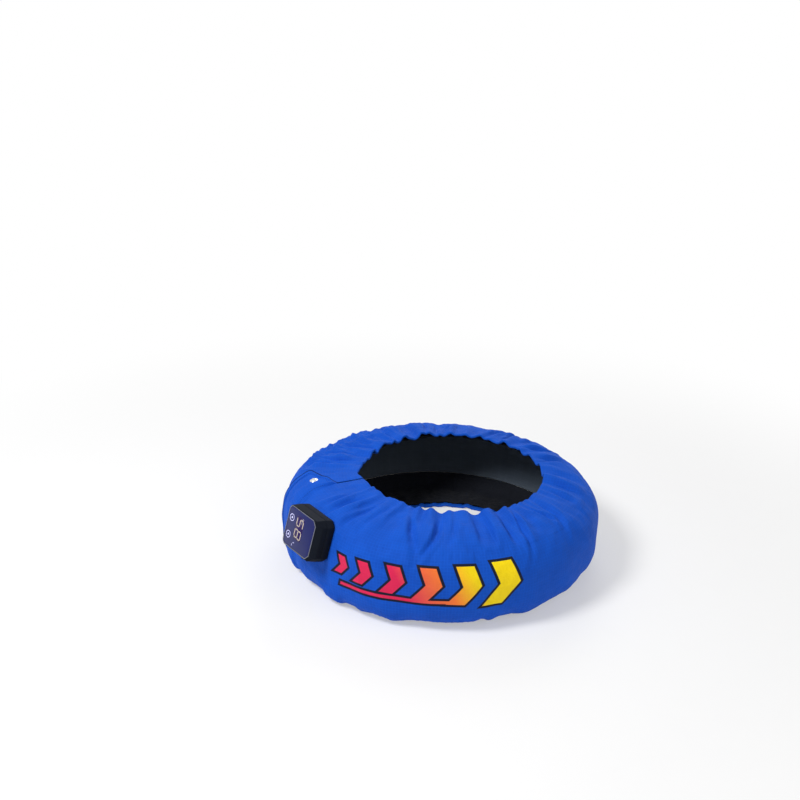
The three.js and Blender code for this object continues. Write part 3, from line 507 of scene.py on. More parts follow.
class Palette:
    """Finishes of the warmer, made once and shared by the pieces."""

    # Lit and shaded tones of one blue: the spread between them is painted light and shade.
    BLUE_PAINTED_LIT = (0.0070, 0.104, 0.630)
    BLUE_PAINTED_SHADED = (0.0035, 0.056, 0.390)
    # Tones of the black lining, blended the same way: their spread is in part painted shade in the
    # creases and in part random tone.
    BLACK_LIGHT = (0.012, 0.014, 0.020)
    BLACK_DARK = (0.004, 0.005, 0.009)

    def __init__(self) -> None:
        """Builds every finish."""
        self.cover = ClothFinish("blue_ripstop", self.BLUE_PAINTED_LIT, self.BLUE_PAINTED_SHADED).build()
        self.printed = ClothFinish("printed_ripstop", self.BLUE_PAINTED_LIT, self.BLUE_PAINTED_SHADED,
                                   design=PrintDesign()).build()
        self.lining = ClothFinish("black_lining", self.BLACK_LIGHT, self.BLACK_DARK,
                                  roughness=0.8, sheen=0.1, sheen_tint=(1.0, 1.0, 1.0)).build()
        self.heater = ClothFinish("heater_cloth", (0.065, 0.085, 0.112), (0.036, 0.048, 0.066),
                                  roughness=0.5, sheen=0.1, sheen_tint=(1.0, 1.0, 1.0),
                                  cell=0.02, crinkle_depth=0.0008).build()
        self.batting = PlainFinish("batting", (0.78, 0.76, 0.70), (0.62, 0.60, 0.55),
                                   0.95, 0.004, 0.001).build()
        self.tape = PlainFinish("hook_and_loop", (0.010, 0.011, 0.013), (0.030, 0.030, 0.034),
                                0.95, 0.0011, 0.0008).build()
        self.thread = PlainFinish("thread", (0.003, 0.014, 0.085), (0.006, 0.024, 0.130),
                                  0.8, 0.0008, 0.0001, specular=0.1).build()
        self.plastic = PlainFinish("moulded_black", (0.0045, 0.0062, 0.011), (0.008, 0.011, 0.018),
                                   0.60, 0.0007, 0.00006, specular=0.05).build()
        # Pale lip colour: painted highlight of the case's edge round the film.
        self.lip = PlainFinish("lip_painted_highlight", (0.13, 0.14, 0.17), (0.19, 0.20, 0.24),
                               0.30, 0.0010, 0.00002).build()
        self.panel = PlainFinish("face_film", (0.013, 0.018, 0.100), (0.016, 0.021, 0.118),
                                 0.24, 0.02, 0.00001, specular=0.12).build()
        self.window = PlainFinish("display_window", (0.024, 0.014, 0.090), (0.030, 0.018, 0.105),
                                  0.22, 0.004, 0.00001, specular=0.12).build()
        self.nickel = PlainFinish("nickel", (0.74, 0.75, 0.76), (0.60, 0.61, 0.63),
                                  0.24, 0.0009, 0.00003, metallic=1.0).build()
        self.steel = PlainFinish("zinc_steel", (0.52, 0.54, 0.56), (0.38, 0.40, 0.42),
                                 0.38, 0.0006, 0.00004, metallic=1.0).build()
        self.board = PlainFinish("solder_mask", (0.010, 0.105, 0.032), (0.014, 0.14, 0.045),
                                 0.4, 0.0015, 0.00004, coat=0.3).build()
        self.lead = PlainFinish("silicone_sleeve", (0.085, 0.09, 0.10), (0.13, 0.135, 0.15),
                                0.6, 0.001, 0.00005).build()
        self.digits = GlowFinish("lit_segments", (0.42, 0.35, 0.30), 0.25).build()
        # Printed key marks: their glow is painted light.
        self.marks = GlowFinish("white_marks_painted_glow", (0.55, 0.55, 0.88), 0.25).build()
        self.floor = FloorFinish().build()


# Pieces


class Builder:
    """Turns arrays into pieces that ride on the body."""

    def __init__(self, palette: Palette) -> None:
        """Keeps the palette, and counts the pieces."""
        self.palette = palette
        self.count = 0

    def publish(self, name: str, points: np.ndarray, faces: Sequence, material: Any, slot: Slot,
                uv: np.ndarray | None = None, stands_for: Sequence[str] = (),
                sharp: float | None = None) -> bpy.types.Object:
        """Makes a piece.

        Args:
            name: the piece's name.
            points: its vertices.
            faces: indices of each face's vertices.
            material: its finish.
            slot: the record's material slot; not used.
            uv: a pair of distances for each vertex.
            stands_for: CAD nodes that it replaces.
            sharp: angle in degrees from which an edge stays sharp.

        Returns:
            The object.
        """
        flat = points.reshape(-1, 3)
        listed = [list(map(int, f)) for f in faces]
        mesh = bpy.data.meshes.new(name)
        mesh.from_pydata(flat.tolist(), [], listed)
        if uv is not None:
            layer = mesh.uv_layers.new(name="cloth")
            corners = np.zeros(len(mesh.loops), dtype=np.int32)
            mesh.loops.foreach_get("vertex_index", corners)
            layer.data.foreach_set("uv", uv.reshape(-1, 2)[corners].astype(np.float32).ravel())
        mesh.shade_smooth()
        if sharp is not None:
            mesh.set_sharp_from_angle(angle=math.radians(sharp))
        mesh.materials.append(material)
        mesh.validate()
        piece = bpy.data.objects.new(name, mesh)
        bpy.context.scene.collection.objects.link(piece)
        if stands_for:
            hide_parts(*stands_for)
        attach(piece, BODY)
        self.count += 1
        log.info("%s: %d faces", name, len(listed))
        return piece

    def shell(self, name: str, grid: np.ndarray, thickness: float, uv: np.ndarray, **facts: Any
              ) -> bpy.types.Object:
        """Closed sheet: a grid, its copy moved inwards by the thickness, and a rim between."""
        rows, cols = grid.shape[:2]
        inner = grid - normals_of(grid) * thickness
        first = rows * cols
        outside = quads(rows, cols)
        inside = quads(rows, cols, first)[:, ::-1]
        c = np.arange(cols - 1)
        r = np.arange(rows - 1) * cols
        low = np.stack([first + c, first + c + 1, c + 1, c], axis=-1)
        top = (rows - 1) * cols
        high = np.stack([top + c, top + c + 1, first + top + c + 1, first + top + c], axis=-1)
        left = np.stack([r, r + cols, first + r + cols, first + r], axis=-1)
        e = r + cols - 1
        right = np.stack([first + e, first + e + cols, e + cols, e], axis=-1)
        faces = np.concatenate([outside, inside, low, high, left, right])
        points = np.concatenate([grid.reshape(-1, 3), inner.reshape(-1, 3)])
        both = np.concatenate([uv.reshape(-1, 2), uv.reshape(-1, 2)])
        return self.publish(name, points, faces, uv=both, sharp=70.0, **facts)

    def loft(self, name: str, rows: np.ndarray, place: Matrix | None = None, **facts: Any
             ) -> bpy.types.Object:
        """Closed body through rings of points, with a flat cap at each end."""
        count, size = rows.shape[:2]
        wrapped = np.concatenate([rows, rows[:, :1]], axis=1)
        index = quads(count, size + 1)
        row, col = index // (size + 1), index % (size + 1) % size
        sides = (row * size + col).tolist()
        caps = [list(range(size))[::-1], list(range((count - 1) * size, count * size))]
        points = self.placed(wrapped[:, :size].reshape(-1, 3), place)
        return self.publish(name, points, sides + caps, **facts)

    def hoop(self, name: str, rows: np.ndarray, place: Matrix, **facts: Any
             ) -> bpy.types.Object:
        """Closed body through rings of points, of which the last is the first again."""
        count, size = rows.shape[:2]
        index = quads(count, size + 1)
        row, col = index // (size + 1) % (count - 1), index % (size + 1) % size
        points = self.placed(rows[:-1].reshape(-1, 3), place)
        return self.publish(name, points, (row * size + col).tolist(), **facts)

    def placed(self, points: np.ndarray, place: Matrix | None) -> np.ndarray:
        """Points moved into the row frame by a matrix."""
        if place is None:
            return points
        m = np.array(place)
        return points @ m[:3, :3].T + m[:3, 3]

    def turned(self, profile: np.ndarray, sides: int) -> np.ndarray:
        """Rings of a profile of [radius, height] pairs turned about Z."""
        a = np.linspace(0.0, 2.0 * math.pi, sides, endpoint=False)
        r, z = profile[:, :1], profile[:, 1:]
        return np.stack([r * np.cos(a), r * np.sin(a), np.broadcast_to(z, (len(r), sides))], -1)


@dataclass(frozen=True)
class RingForm:
    """Form of the cover: its section at every angle, and where the closure and the case are."""

    radius: float = 0.3204
    height: float = 0.176
    reach: float = 0.099
    power: float = 2.6
    sit: float = 0.003
    seam: float = 0.071632
    case_angle: float = 217.4
    case_tilt: float = 16.0
    case_rise: float = 0.048048
    case_sink: float = 0.010
    case_power: float = 4.0
    case_length: float = 0.102
    wall_fade: float = 60.0
    hem_radius: float = 0.184
    hem_shift: float = 0.020
    hem_rise: float = 0.011
    hem_pull: float = 0.017
    hem_pull_angle: float = 189.0
    hem_pull_spread: float = 12.0
    joint_angle: float = 198.0
    joint_gap: float = 0.004
    flap_corner: float = 185.0
    flap_root: float = 205.0
    calm_fade: float = 13.0

    @property
    def mid(self) -> float:
        """Height of the section's middle over the floor."""
        return self.height / 2.0 - self.sit

    @property
    def case_half_turn(self) -> float:
        """Angle from the case's middle to its end."""
        return math.degrees(math.asin(self.case_length / 2.0 / (self.radius - self.case_sink)))

    @property
    def seat(self) -> float:
        """Distance of the case's flat from the middle of the section, along its normal."""
        tilt = math.radians(self.case_tilt)
        dual = self.case_power / (self.case_power - 1.0)
        across = ((self.reach * math.cos(tilt)) ** dual
                  + (self.height / 2.0 * math.sin(tilt)) ** dual) ** (1.0 / dual)
        return (self.radius - self.reach) * math.cos(tilt) + across - self.case_sink

    def case_frame(self) -> Matrix:
        """Frame of the case about the ring's axis: x along the wall, y up it, z out of it."""
        tilt, turn = math.radians(self.case_tilt), math.radians(self.case_angle)
        out = Vector((math.cos(turn) * math.cos(tilt), math.sin(turn) * math.cos(tilt),
                      math.sin(tilt)))
        along = Vector((-math.sin(turn), math.cos(turn), 0.0))
        up = out.cross(along)
        far = (self.seat - self.case_rise * math.sin(tilt)) / math.cos(tilt)
        origin = Vector((far * math.cos(turn), far * math.sin(turn), self.mid + self.case_rise))
        origin += out * 0.3 * MM
        made = Matrix((along, up, out)).transposed().to_4x4()
        made.translation = origin
        return made

    def wall_power(self, angle: np.ndarray) -> np.ndarray:
        """Fullness of the wall, which is larger behind the case."""
        away = np.abs(turn_between(angle, self.case_angle))
        return mix(self.case_power, self.power,
                   ease((away - self.case_half_turn) / self.wall_fade))

    def crown(self, angle: np.ndarray, height: np.ndarray, depth: Any = 0.0
              ) -> tuple[np.ndarray, np.ndarray]:
        """Wall at a height from the middle: (|r|/reach)^n + (|q|/half)^n = 1, moved inwards.

        Args:
            angle: place round the ring.
            height: distance above the section's middle.
            depth: distance inwards from the cover's outer face.

        Returns:
            Distances from the axis and from the section's middle.
        """
        power = self.wall_power(angle)
        half = self.height / 2.0
        y = height / half
        x = np.maximum(1.0 - np.abs(y) ** power, 1e-9) ** (1.0 / power)
        nx = x ** (power - 1.0) / self.reach
        ny = np.sign(y) * np.abs(y) ** (power - 1.0) / half
        size = np.hypot(nx, ny)
        q = height - depth * ny / size
        full = self.radius - self.reach + self.reach * x - depth * nx / size
        away = np.radians(turn_between(angle, self.case_angle))
        tilt = math.radians(self.case_tilt)
        cosine = np.maximum(np.cos(away), 0.3)
        flat = (self.seat - depth - q * math.sin(tilt)) / (math.cos(tilt) * cosine)
        pressed = np.where(np.abs(away) < 1.0, soft_min(full, flat, 0.004), full)
        return pressed, q

    def hem(self, angle: np.ndarray) -> np.ndarray:
        """Distance of the hems from the axis: a circle set to one side, drawn to a point."""
        turn = np.radians(angle)
        plain = self.hem_shift * np.cos(turn) + np.sqrt(
            self.hem_radius ** 2 - (self.hem_shift * np.sin(turn)) ** 2)
        away = np.abs(turn_between(angle, self.hem_pull_angle))
        return plain + self.hem_pull * np.exp(-away / self.hem_pull_spread)

    def skirt(self, side: Side, angle: np.ndarray, share: np.ndarray
              ) -> tuple[np.ndarray, np.ndarray]:
        """Skirt from its seam (share 0) to its hem (share 1), on a cubic Bezier curve."""
        rise = self.hem_rise if side is Side.UPPER else 0.0
        r0, q0 = self.crown(angle, np.full_like(angle, self.seam))
        r1, q1 = self.crown(angle, np.full_like(angle, self.seam + MM))
        size = np.hypot(r1 - r0, q1 - q0)
        ar, aq = (r1 - r0) / size, (q1 - q0) / size
        hr, hq = self.hem(angle), np.full_like(angle, self.height / 2.0 + rise)
        far = np.hypot(hr - r0, hq - q0)
        points = [(r0, q0), (r0 + ar * far * 0.25, q0 + aq * far * 0.25),
                  (hr + far * 0.45, hq - rise * 0.55), (hr, hq)]
        t = share
        weights = [(1 - t) ** 3, 3 * t * (1 - t) ** 2, 3 * t * t * (1 - t), t ** 3]
        r = sum(w * p[0] for w, p in zip(weights, points))
        q = sum(w * p[1] for w, p in zip(weights, points))
        return r, q

    def section(self, angle: np.ndarray, place: np.ndarray) -> tuple[np.ndarray, np.ndarray]:
        """Cover at a place from -2 (lower hem) past -1 and 1 (the seams) to 2 (upper hem).

        Returns:
            Distances from the axis and above the floor.
        """
        middle = np.clip(place, -1.0, 1.0)
        r, q = self.crown(angle, middle * self.seam)
        share = np.clip(np.abs(place) - 1.0, 0.0, 1.0)
        up_r, up_q = self.skirt(Side.UPPER, angle, share)
        low_r, low_q = self.skirt(Side.LOWER, angle, share)
        r = np.where(place > 1.0, up_r, np.where(place < -1.0, low_r, r))
        q = np.where(place > 1.0, up_q, np.where(place < -1.0, -low_q, q))
        return r, np.maximum(self.mid + q, 0.0)

    def calm(self, angle: np.ndarray) -> np.ndarray:
        """0 round the closure, where the cloth is doubled, and 1 away from it."""
        centre = (self.flap_corner + self.flap_root) / 2.0
        half = (self.flap_root - self.flap_corner) / 2.0
        return ease((np.abs(turn_between(angle, centre)) - half) / self.calm_fade)

    def around(self, count: int) -> np.ndarray:
        """Angles from one side of the joint round to the other."""
        half = math.degrees(self.joint_gap / 2.0 / self.radius)
        return np.linspace(self.joint_angle + half, self.joint_angle + 360.0 - half, count)

    def lay(self, angle: np.ndarray, r: np.ndarray, z: np.ndarray, axis: Vector) -> np.ndarray:
        """Points in the row frame from angles, distances from the axis and heights."""
        turn = np.radians(angle)
        return np.stack([axis.x + r * np.cos(turn), axis.y + r * np.sin(turn),
                         np.broadcast_to(z, r.shape)], axis=-1)


@dataclass
class Cover:
    """Blue cover: the tread panel and the two gathered skirts with their folded hems."""

    form: RingForm
    builder: Builder
    axis: Vector
    columns: int = 421
    tread_rows: int = 29
    skirt_rows: int = 25
    thickness: float = 0.0012
    hem_width: float = 0.0068
    hem_radius: float = 0.0027
    gathers: int = 27
    ruffles: int = 50
    gather_height: float = 0.0060
    ruffle_height: float = 0.0026
    pleats: int = 34
    pleat_depth: float = 0.0085
    pleat_width: float = 0.0060
    deepest: float = 0.0085
    crumple_height: float = 0.0165
    crumple_angle: float = 150.0
    crumple_spread: float = 31.0
    padding_give: float = 0.0022
    hem_excess: float = 0.50
    seam_excess: float = 0.035
    steps: int = 26
    pressure: float = 1.8
    farthest: float = 0.009
    points: np.ndarray = field(init=False)
    cloth: np.ndarray = field(init=False)
    rows: np.ndarray = field(init=False)
    angles: np.ndarray = field(init=False)
    rows_of: dict = field(init=False)
    hems: dict = field(default_factory=dict)

    def places(self) -> np.ndarray:
        """Rows of the cover, from -2 at the lower hem to 2 at the upper one."""
        skirt = np.linspace(0.0, 1.0, self.skirt_rows) ** 0.92
        tread = np.linspace(-1.0, 1.0, self.tread_rows)
        return np.concatenate([-1.0 - skirt[:0:-1], tread, 1.0 + skirt[1:]])

    def gathered(self, angle: np.ndarray, place: np.ndarray) -> np.ndarray:
        """Height of the gathers over the smooth cover.

        Folds run across the skirts, swell and die away round the ring by a slow wave, fade
        over the shoulders and split into ruffles at the hems.
        """
        turn = angle / 360.0
        share = np.clip(np.abs(place) - 1.0, 0.0, 1.0)
        lean = 0.008 * ripple(turn, 7, 1) * (share - 0.4)
        big = np.where(place > 0.0, ripple(turn + lean, self.gathers, 2),
                       ripple(turn - lean, self.gathers * 1.1, 5))
        strength = 1.0 + 0.45 * ripple(turn, 5, 6)
        folds = np.sign(big) * np.abs(big) ** 0.75 * ease(share / 0.7) ** 0.9 * strength
        ruffles = ripple(turn + lean, self.ruffles, 9, 3) * ease((share - 0.6) / 0.4)
        shoulder = ripple(turn + lean, self.gathers * 0.8, 4) * np.exp(
            -((np.abs(place) - 1.05) / 0.30) ** 2) * mix(1.0, 0.6, place > 0.0)
        slack = ripple(turn * 0.9 + place * 0.012, 17, 11) * (1.0 - ease(share / 0.3))
        height = (self.gather_height * folds + self.ruffle_height * ruffles
                  + 0.0026 * shoulder + 0.0016 * slack)
        height = height + self.pleated(angle, place)
        deepest = mix(self.deepest, 0.5 * self.deepest, ease((-place - 1.1) / 0.3))
        height = deepest * np.tanh(height / deepest)
        return height * mix(0.2, 1.0, self.form.calm(angle))

    def pleated(self, angle: np.ndarray, place: np.ndarray) -> np.ndarray:
        """Long pinched folds that start at a hem and run out over the shoulder.

        Each is a valley of Gaussian section between two low ridges: with d the distance from
        its line, -exp(-(d/w)^2) + 0.45 exp(-((|d| - 1.7w)/w)^2), faded at its outer end.
        """
        draws = np.random.default_rng(SEED + 50)
        step = 360.0 / self.pleats
        count = self.pleats
        centre = (np.arange(count) + draws.uniform(-0.38, 0.38, count)) * step
        lean = draws.uniform(-9.0, 9.0, count)
        reach = draws.uniform(0.45, 1.0, count) ** 1.4
        depth = draws.uniform(0.35, 1.0, count) * self.pleat_depth
        width = draws.uniform(0.75, 1.35, count) * self.pleat_width
        side = np.where(draws.uniform(0.0, 1.0, count) < 0.72, 1.0, -1.0)
        total = np.zeros_like(angle)
        radius = mix(self.form.radius, self.form.hem_radius,
                     np.clip(np.abs(place) - 1.0, 0.0, 1.0))
        for k in range(count):
            down = np.clip(2.0 - place * side[k], 0.0, 4.0)
            line = centre[k] + lean[k] * down + 1.6 * np.sin(down * 3.0 + k)
            d = np.abs(np.radians(turn_between(angle, line)) * radius)
            w = width[k] * (0.75 + 0.55 * down)
            valley = -np.exp(-(d / w) ** 2) + 0.45 * np.exp(-((d - 1.7 * w) / w) ** 2)
            fade = 1.0 - ease((down - 0.4 * reach[k]) / (1.3 * reach[k]))
            total = total + depth[k] * valley * fade
        return total

    def crumpled(self, angle: np.ndarray, place: np.ndarray) -> np.ndarray:
        """Short creases in all directions, strongest where the skirt is most slack.

        Rounded ridges 1.56 - 2 sqrt|sin|, of no mean height, of plane waves whose
        directions and lengths are drawn.
        """
        draws = np.random.default_rng(SEED + 70)
        x = np.radians(angle) * self.form.radius
        y = place * 0.095
        away = turn_between(angle, self.crumple_angle) / self.crumple_spread
        top = ease((place - 0.85) / 0.25) * np.exp(-away * away)
        rest = 0.14 * ease((np.abs(place) - 0.6) / 0.5)
        field_of = np.zeros_like(angle)
        for _ in range(7):
            heading = draws.uniform(0.0, math.pi)
            pitch = draws.uniform(0.024, 0.052)
            phase = draws.uniform(0.0, 2.0 * math.pi)
            bent = 0.012 * np.sin(x / 0.05 + phase * 2.0) + 0.010 * np.sin(y / 0.03 + phase)
            wave = np.sin((x * math.cos(heading) + y * math.sin(heading) + bent)
                          * math.pi / pitch + phase)
            field_of = field_of + (1.56 - 2.0 * np.sqrt(np.hypot(wave, 0.16)))
        return self.crumple_height * (top + rest) * field_of / 7.0

    def start(self) -> tuple[np.ndarray, np.ndarray, np.ndarray, np.ndarray]:
        """Grid of the cover before simulation, with its angles, places and normals."""
        place, angle = np.meshgrid(self.places(), self.form.around(self.columns), indexing="ij")
        r, z = self.form.section(angle, place)
        smooth = self.form.lay(angle, r, z, self.axis)
        return smooth, angle, place, normals_of(smooth)

    def cut_shape(self, smooth: np.ndarray, angle: np.ndarray, place: np.ndarray) -> np.ndarray:
        """The cloth before it is gathered: each row longer by its excess, at true widths."""
        r = np.hypot(smooth[..., 0] - self.axis.x, smooth[..., 1] - self.axis.y)
        share = np.clip(np.abs(place) - 1.0, 0.0, 1.0)
        uneven = 1.0 + 0.35 * ripple(angle / 360.0, 6, 12)
        excess = mix(self.seam_excess, self.hem_excess, share ** 1.3) * uneven
        excess = excess * mix(0.15, 1.0, self.form.calm(angle)) * (np.abs(place) > 0.8)
        wide = r * (1.0 + excess)
        step = np.linalg.norm(np.diff(smooth, axis=0), axis=2)
        climb = np.sqrt(np.maximum(step ** 2 - np.diff(wide, axis=0) ** 2, (0.2 * step) ** 2))
        height = np.concatenate([np.zeros((1, wide.shape[1])), np.cumsum(climb, axis=0)])
        return self.form.lay(angle, wide, height, self.axis)

    def held(self, angle: np.ndarray, place: np.ndarray) -> np.ndarray:
        """How firmly each point is held: hems, closure and case fully, the tread in part."""
        share = np.abs(place)
        case = 1.0 - ease((np.abs(turn_between(angle, self.form.case_angle))
                           - self.form.case_half_turn * 0.9) / 5.0)
        tread = 0.35 * (1.0 - ease((share - 0.75) / 0.45))
        closure = (1.0 - self.form.calm(angle)) * 0.9
        hem = (share > 1.93) * 1.0
        low = ((place < -1.35) * 0.5)
        weight = np.maximum.reduce([case * (share < 1.35) * (place > -0.9), tread, closure,
                                    hem, low, np.full_like(share, 0.02)])
        return np.round(np.clip(weight, 0.0, 1.0), 1)

    def simulate(self, begin: np.ndarray, cut: np.ndarray, held: np.ndarray) -> np.ndarray:
        """Lets the gathered cloth settle under the padding's push.

        Args:
            begin: grid of points at the start.
            cut: the same grid at the cloth's own lengths.
            held: how firmly each point is held, from 0 to 1.

        Returns:
            The settled grid, no point of it farther than the limit from where it began.
        """
        rows, cols = begin.shape[:2]
        mesh = bpy.data.meshes.new("cover_cloth")
        mesh.from_pydata(begin.reshape(-1, 3).tolist(), [], quads(rows, cols).tolist())
        cloth = bpy.data.objects.new("cover_cloth", mesh)
        scene = bpy.context.scene
        scene.collection.objects.link(cloth)
        cloth.shape_key_add(name="gathered")
        key = cloth.shape_key_add(name="cut")
        key.data.foreach_set("co", cut.astype(np.float32).ravel())
        group = cloth.vertex_groups.new(name="held")
        flat = held.ravel()
        for level in np.unique(flat):
            group.add(np.nonzero(flat == level)[0].tolist(), float(level), "REPLACE")
        modifier = cloth.modifiers.new("settle", "CLOTH")
        settings = modifier.settings
        settings.quality = 4
        settings.mass = 0.25
        settings.tension_stiffness = 18.0
        settings.compression_stiffness = 18.0
        settings.shear_stiffness = 6.0
        settings.bending_stiffness = 0.35
        settings.tension_damping = 8.0
        settings.compression_damping = 8.0
        settings.air_damping = 4.0
        settings.vertex_group_mass = "held"
        settings.pin_stiffness = 1.0
        settings.rest_shape_key = key
        settings.use_pressure = True
        settings.uniform_pressure_force = self.pressure
        settings.effector_weights.gravity = 0.0
        modifier.collision_settings.use_collision = False
        modifier.point_cache.frame_start = 1
        modifier.point_cache.frame_end = self.steps
        for step in range(1, self.steps + 1):
            scene.frame_set(step)
        settled = cloth.evaluated_get(bpy.context.evaluated_depsgraph_get())
        found = np.zeros(rows * cols * 3)
        settled.data.vertices.foreach_get("co", found)
        scene.frame_set(1)
        bpy.data.objects.remove(cloth)
        move = found.reshape(begin.shape) - begin
        far = np.linalg.norm(move, axis=2, keepdims=True)
        log.info("cover settles: mean %.1f mm, most %.1f mm", far.mean() / MM, far.max() / MM)
        return begin + move * np.minimum(1.0, self.farthest / np.maximum(far, 1e-9))

    def settle(self) -> None:
        """Makes the cover's grid and its cloth distances, creases it and sinks its seams."""
        smooth, angle, place, normal = self.start()
        height = self.gathered(angle, place)
        begin = smooth + normal * height[..., None]
        cut = self.cut_shape(smooth, angle, place)
        begin = self.simulate(begin, cut, self.held(angle, place))
        case = np.abs(turn_between(angle, self.form.case_angle)) < self.form.case_half_turn * 1.1
        begin = np.where((case & (np.abs(place) < 1.0) & (place > -0.6))[..., None],
                         smooth - normal * 0.0004, begin)
        fine, plain = finer(begin), finer(smooth)
        fine_place, fine_angle = finer(place), finer(angle)
        seam = np.exp(-((np.abs(fine_place) - 1.0) / 0.035) ** 2)
        pucker = ripple(fine_angle / 360.0, 190, 15) * np.exp(
            -((np.abs(fine_place) - 1.0) / 0.10) ** 2)
        flat = (1.0 - ease((np.abs(turn_between(fine_angle, self.form.case_angle))
                            - self.form.case_half_turn * 1.1) / 4.0)) * (np.abs(fine_place) < 1.06)
        creases = self.crumpled(fine_angle, fine_place) * (1.0 - flat) * mix(
            0.2, 1.0, self.form.calm(fine_angle))
        fine = fine + normals_of(fine) * (creases + 0.0003 * pucker - 0.0004 * seam)[..., None]
        fine = self.over_padding(fine, plain, fine_place)
        fine = self.evened_hems(fine, fine_place)
        fine[..., 2] = np.maximum(fine[..., 2], FLOOR_GAP)
        self.points = fine
        self.rows = fine_place[:, 0]
        self.angles = fine_angle[0]
        along = np.radians(fine_angle - self.form.joint_angle) * self.form.radius
        step = np.linalg.norm(np.diff(plain, axis=0), axis=2)
        across = np.concatenate([np.zeros((1, step.shape[1])), np.cumsum(step, axis=0)])
        across = across - across[len(across) // 2]
        self.cloth = np.stack([along, across], axis=-1)
        self.rows_of = {
            "lower": slice(0, 2 * self.skirt_rows - 1),
            "tread": slice(2 * (self.skirt_rows - 1),
                           2 * (self.skirt_rows - 1) + 2 * self.tread_rows - 1),
            "upper": slice(2 * (self.skirt_rows + self.tread_rows - 2), len(fine)),
        }

    def over_padding(self, grid: np.ndarray, smooth: np.ndarray, place: np.ndarray
                     ) -> np.ndarray:
        """Cover held off the batting: over the wall it sinks no deeper than the padding gives."""
        normal = normals_of(smooth)
        stands = np.sum((grid - smooth) * normal, axis=-1)
        deepest = mix(self.padding_give, 3.0 * self.deepest, ease((np.abs(place) - 0.97) / 0.16))
        return grid + normal * np.maximum(-deepest - stands, 0.0)[..., None]

    def evened_hems(self, grid: np.ndarray, place: np.ndarray) -> np.ndarray:
        """Cover whose ruffles are rounded near the hems, by a mean along each row."""
        kernel = np.hanning(19) / np.hanning(19).sum()
        wide = np.pad(grid, ((0, 0), (9, 9), (0, 0)), mode="reflect", reflect_type="odd")
        windows = np.lib.stride_tricks.sliding_window_view(wide, len(kernel), axis=1)
        share = 0.85 * ease((np.abs(place) - 1.62) / 0.3)[..., None]
        return mix(grid, windows @ kernel, share)

    def surface(self, angle: np.ndarray, place: np.ndarray, lift: Any, smooth: Any = 0.0
                ) -> np.ndarray:
        """Points over the settled cover, by straight mixes between its grid's points.

        Args:
            angle: angles round the ring.
            place: rows from -2 to 2.
            lift: distance off the cover.
            smooth: share of the smooth form in the result, from 0 to 1.

        Returns:
            Points in the row frame.
        """
        turn = np.mod(angle - self.angles[0], 360.0)
        turn = np.where(turn > 359.0, 0.0, turn)
        col = np.clip(turn / (self.angles[-1] - self.angles[0]), 0.0, 1.0) * (
            self.points.shape[1] - 1.001)
        row = np.interp(place, self.rows, np.arange(len(self.rows))) * 0.9999
        i, j = np.floor(row).astype(int), np.floor(col).astype(int)
        s, t = (row - i)[..., None], (col - j)[..., None]
        g = self.points
        top = mix(g[i + 1, j], g[i + 1, j + 1], t)
        near = mix(mix(g[i, j], g[i, j + 1], t), top, s)
        r, z = self.form.section(angle, place)
        plain = self.form.lay(angle, r, z, self.axis)
        da, dp = 0.2, 0.01
        r1, z1 = self.form.section(angle + da, place)
        r2, z2 = self.form.section(angle, place + dp)
        across = self.form.lay(angle + da, r1, z1, self.axis) - plain
        along = self.form.lay(angle, r2, z2, self.axis) - plain
        out = np.cross(across, along)
        out = out / np.linalg.norm(out, axis=-1, keepdims=True)
        lifted = np.broadcast_to(lift, angle.shape)[..., None]
        return mix(near, plain, np.broadcast_to(smooth, angle.shape)[..., None]) + out * lifted

    def edge_of(self, grid: np.ndarray) -> tuple[np.ndarray, np.ndarray, np.ndarray]:
        """Edge of a skirt, with evened unit directions across it and out of the cloth."""
        kernel = np.hanning(13) / np.hanning(13).sum()

        def evened(values: np.ndarray) -> np.ndarray:
            """Unit vectors averaged along the edge."""
            wide = np.pad(values, ((6, 6), (0, 0)), mode="edge")
            soft = np.stack([np.convolve(wide[:, k], kernel, mode="valid")
                             for k in range(3)], axis=1)
            return soft / np.linalg.norm(soft, axis=1, keepdims=True)

        return grid[-1], evened(grid[-1] - grid[-4]), evened(normals_of(grid)[-1])

    def folded(self, grid: np.ndarray, cloth: np.ndarray) -> tuple[np.ndarray, np.ndarray]:
        """Skirt with its hem turned under: half a turn of the hem's radius, then back."""
        edge, along, out = self.edge_of(grid)
        turns = np.radians([25.0, 55.0, 90.0, 125.0, 155.0, 180.0])
        fold = [edge + along * math.sin(t) * self.hem_radius
                - out * (1.0 - math.cos(t)) * self.hem_radius for t in turns]
        back = [fold[-1] - along * self.hem_width * s for s in (0.3, 0.65, 1.0)]
        rows = np.stack([*fold, *back])
        steps = np.linalg.norm(np.diff(np.concatenate([grid[-1:], rows]), axis=0), axis=2)
        across = cloth[-1, :, 1] + np.cumsum(steps, axis=0)
        uv = np.stack([np.broadcast_to(cloth[-1, :, 0], across.shape), across], axis=-1)
        return np.concatenate([grid, rows]), np.concatenate([cloth, uv])

    def channel(self, grid: np.ndarray) -> tuple[np.ndarray, np.ndarray, np.ndarray]:
        """Middle of a hem's channel, with the cloth's directions towards its edge and out."""
        edge, along, out = self.edge_of(grid)
        return edge - along * self.hem_width * 0.42 - out * self.hem_radius, along, out

    def skirt(self, side: Side, node: str, grid: np.ndarray, cloth: np.ndarray) -> None:
        """Makes a skirt with a folded hem, and keeps the middle of the hem's channel.

        Args:
            side: which skirt it is.
            node: CAD node that it replaces.
            grid: its points, in rows from the seam to the hem.
            cloth: distances along and across the cloth at each point.
        """
        self.hems[side] = self.channel(grid)
        grid, uv = self.folded(grid, cloth)
        grid[..., 2] = np.maximum(grid[..., 2], FLOOR_GAP)
        skirt = self.builder.shell(f"{node}_cloth", grid, self.thickness, uv, slot=Slot.COVER,
                                   material=self.builder.palette.cover, stands_for=[node])

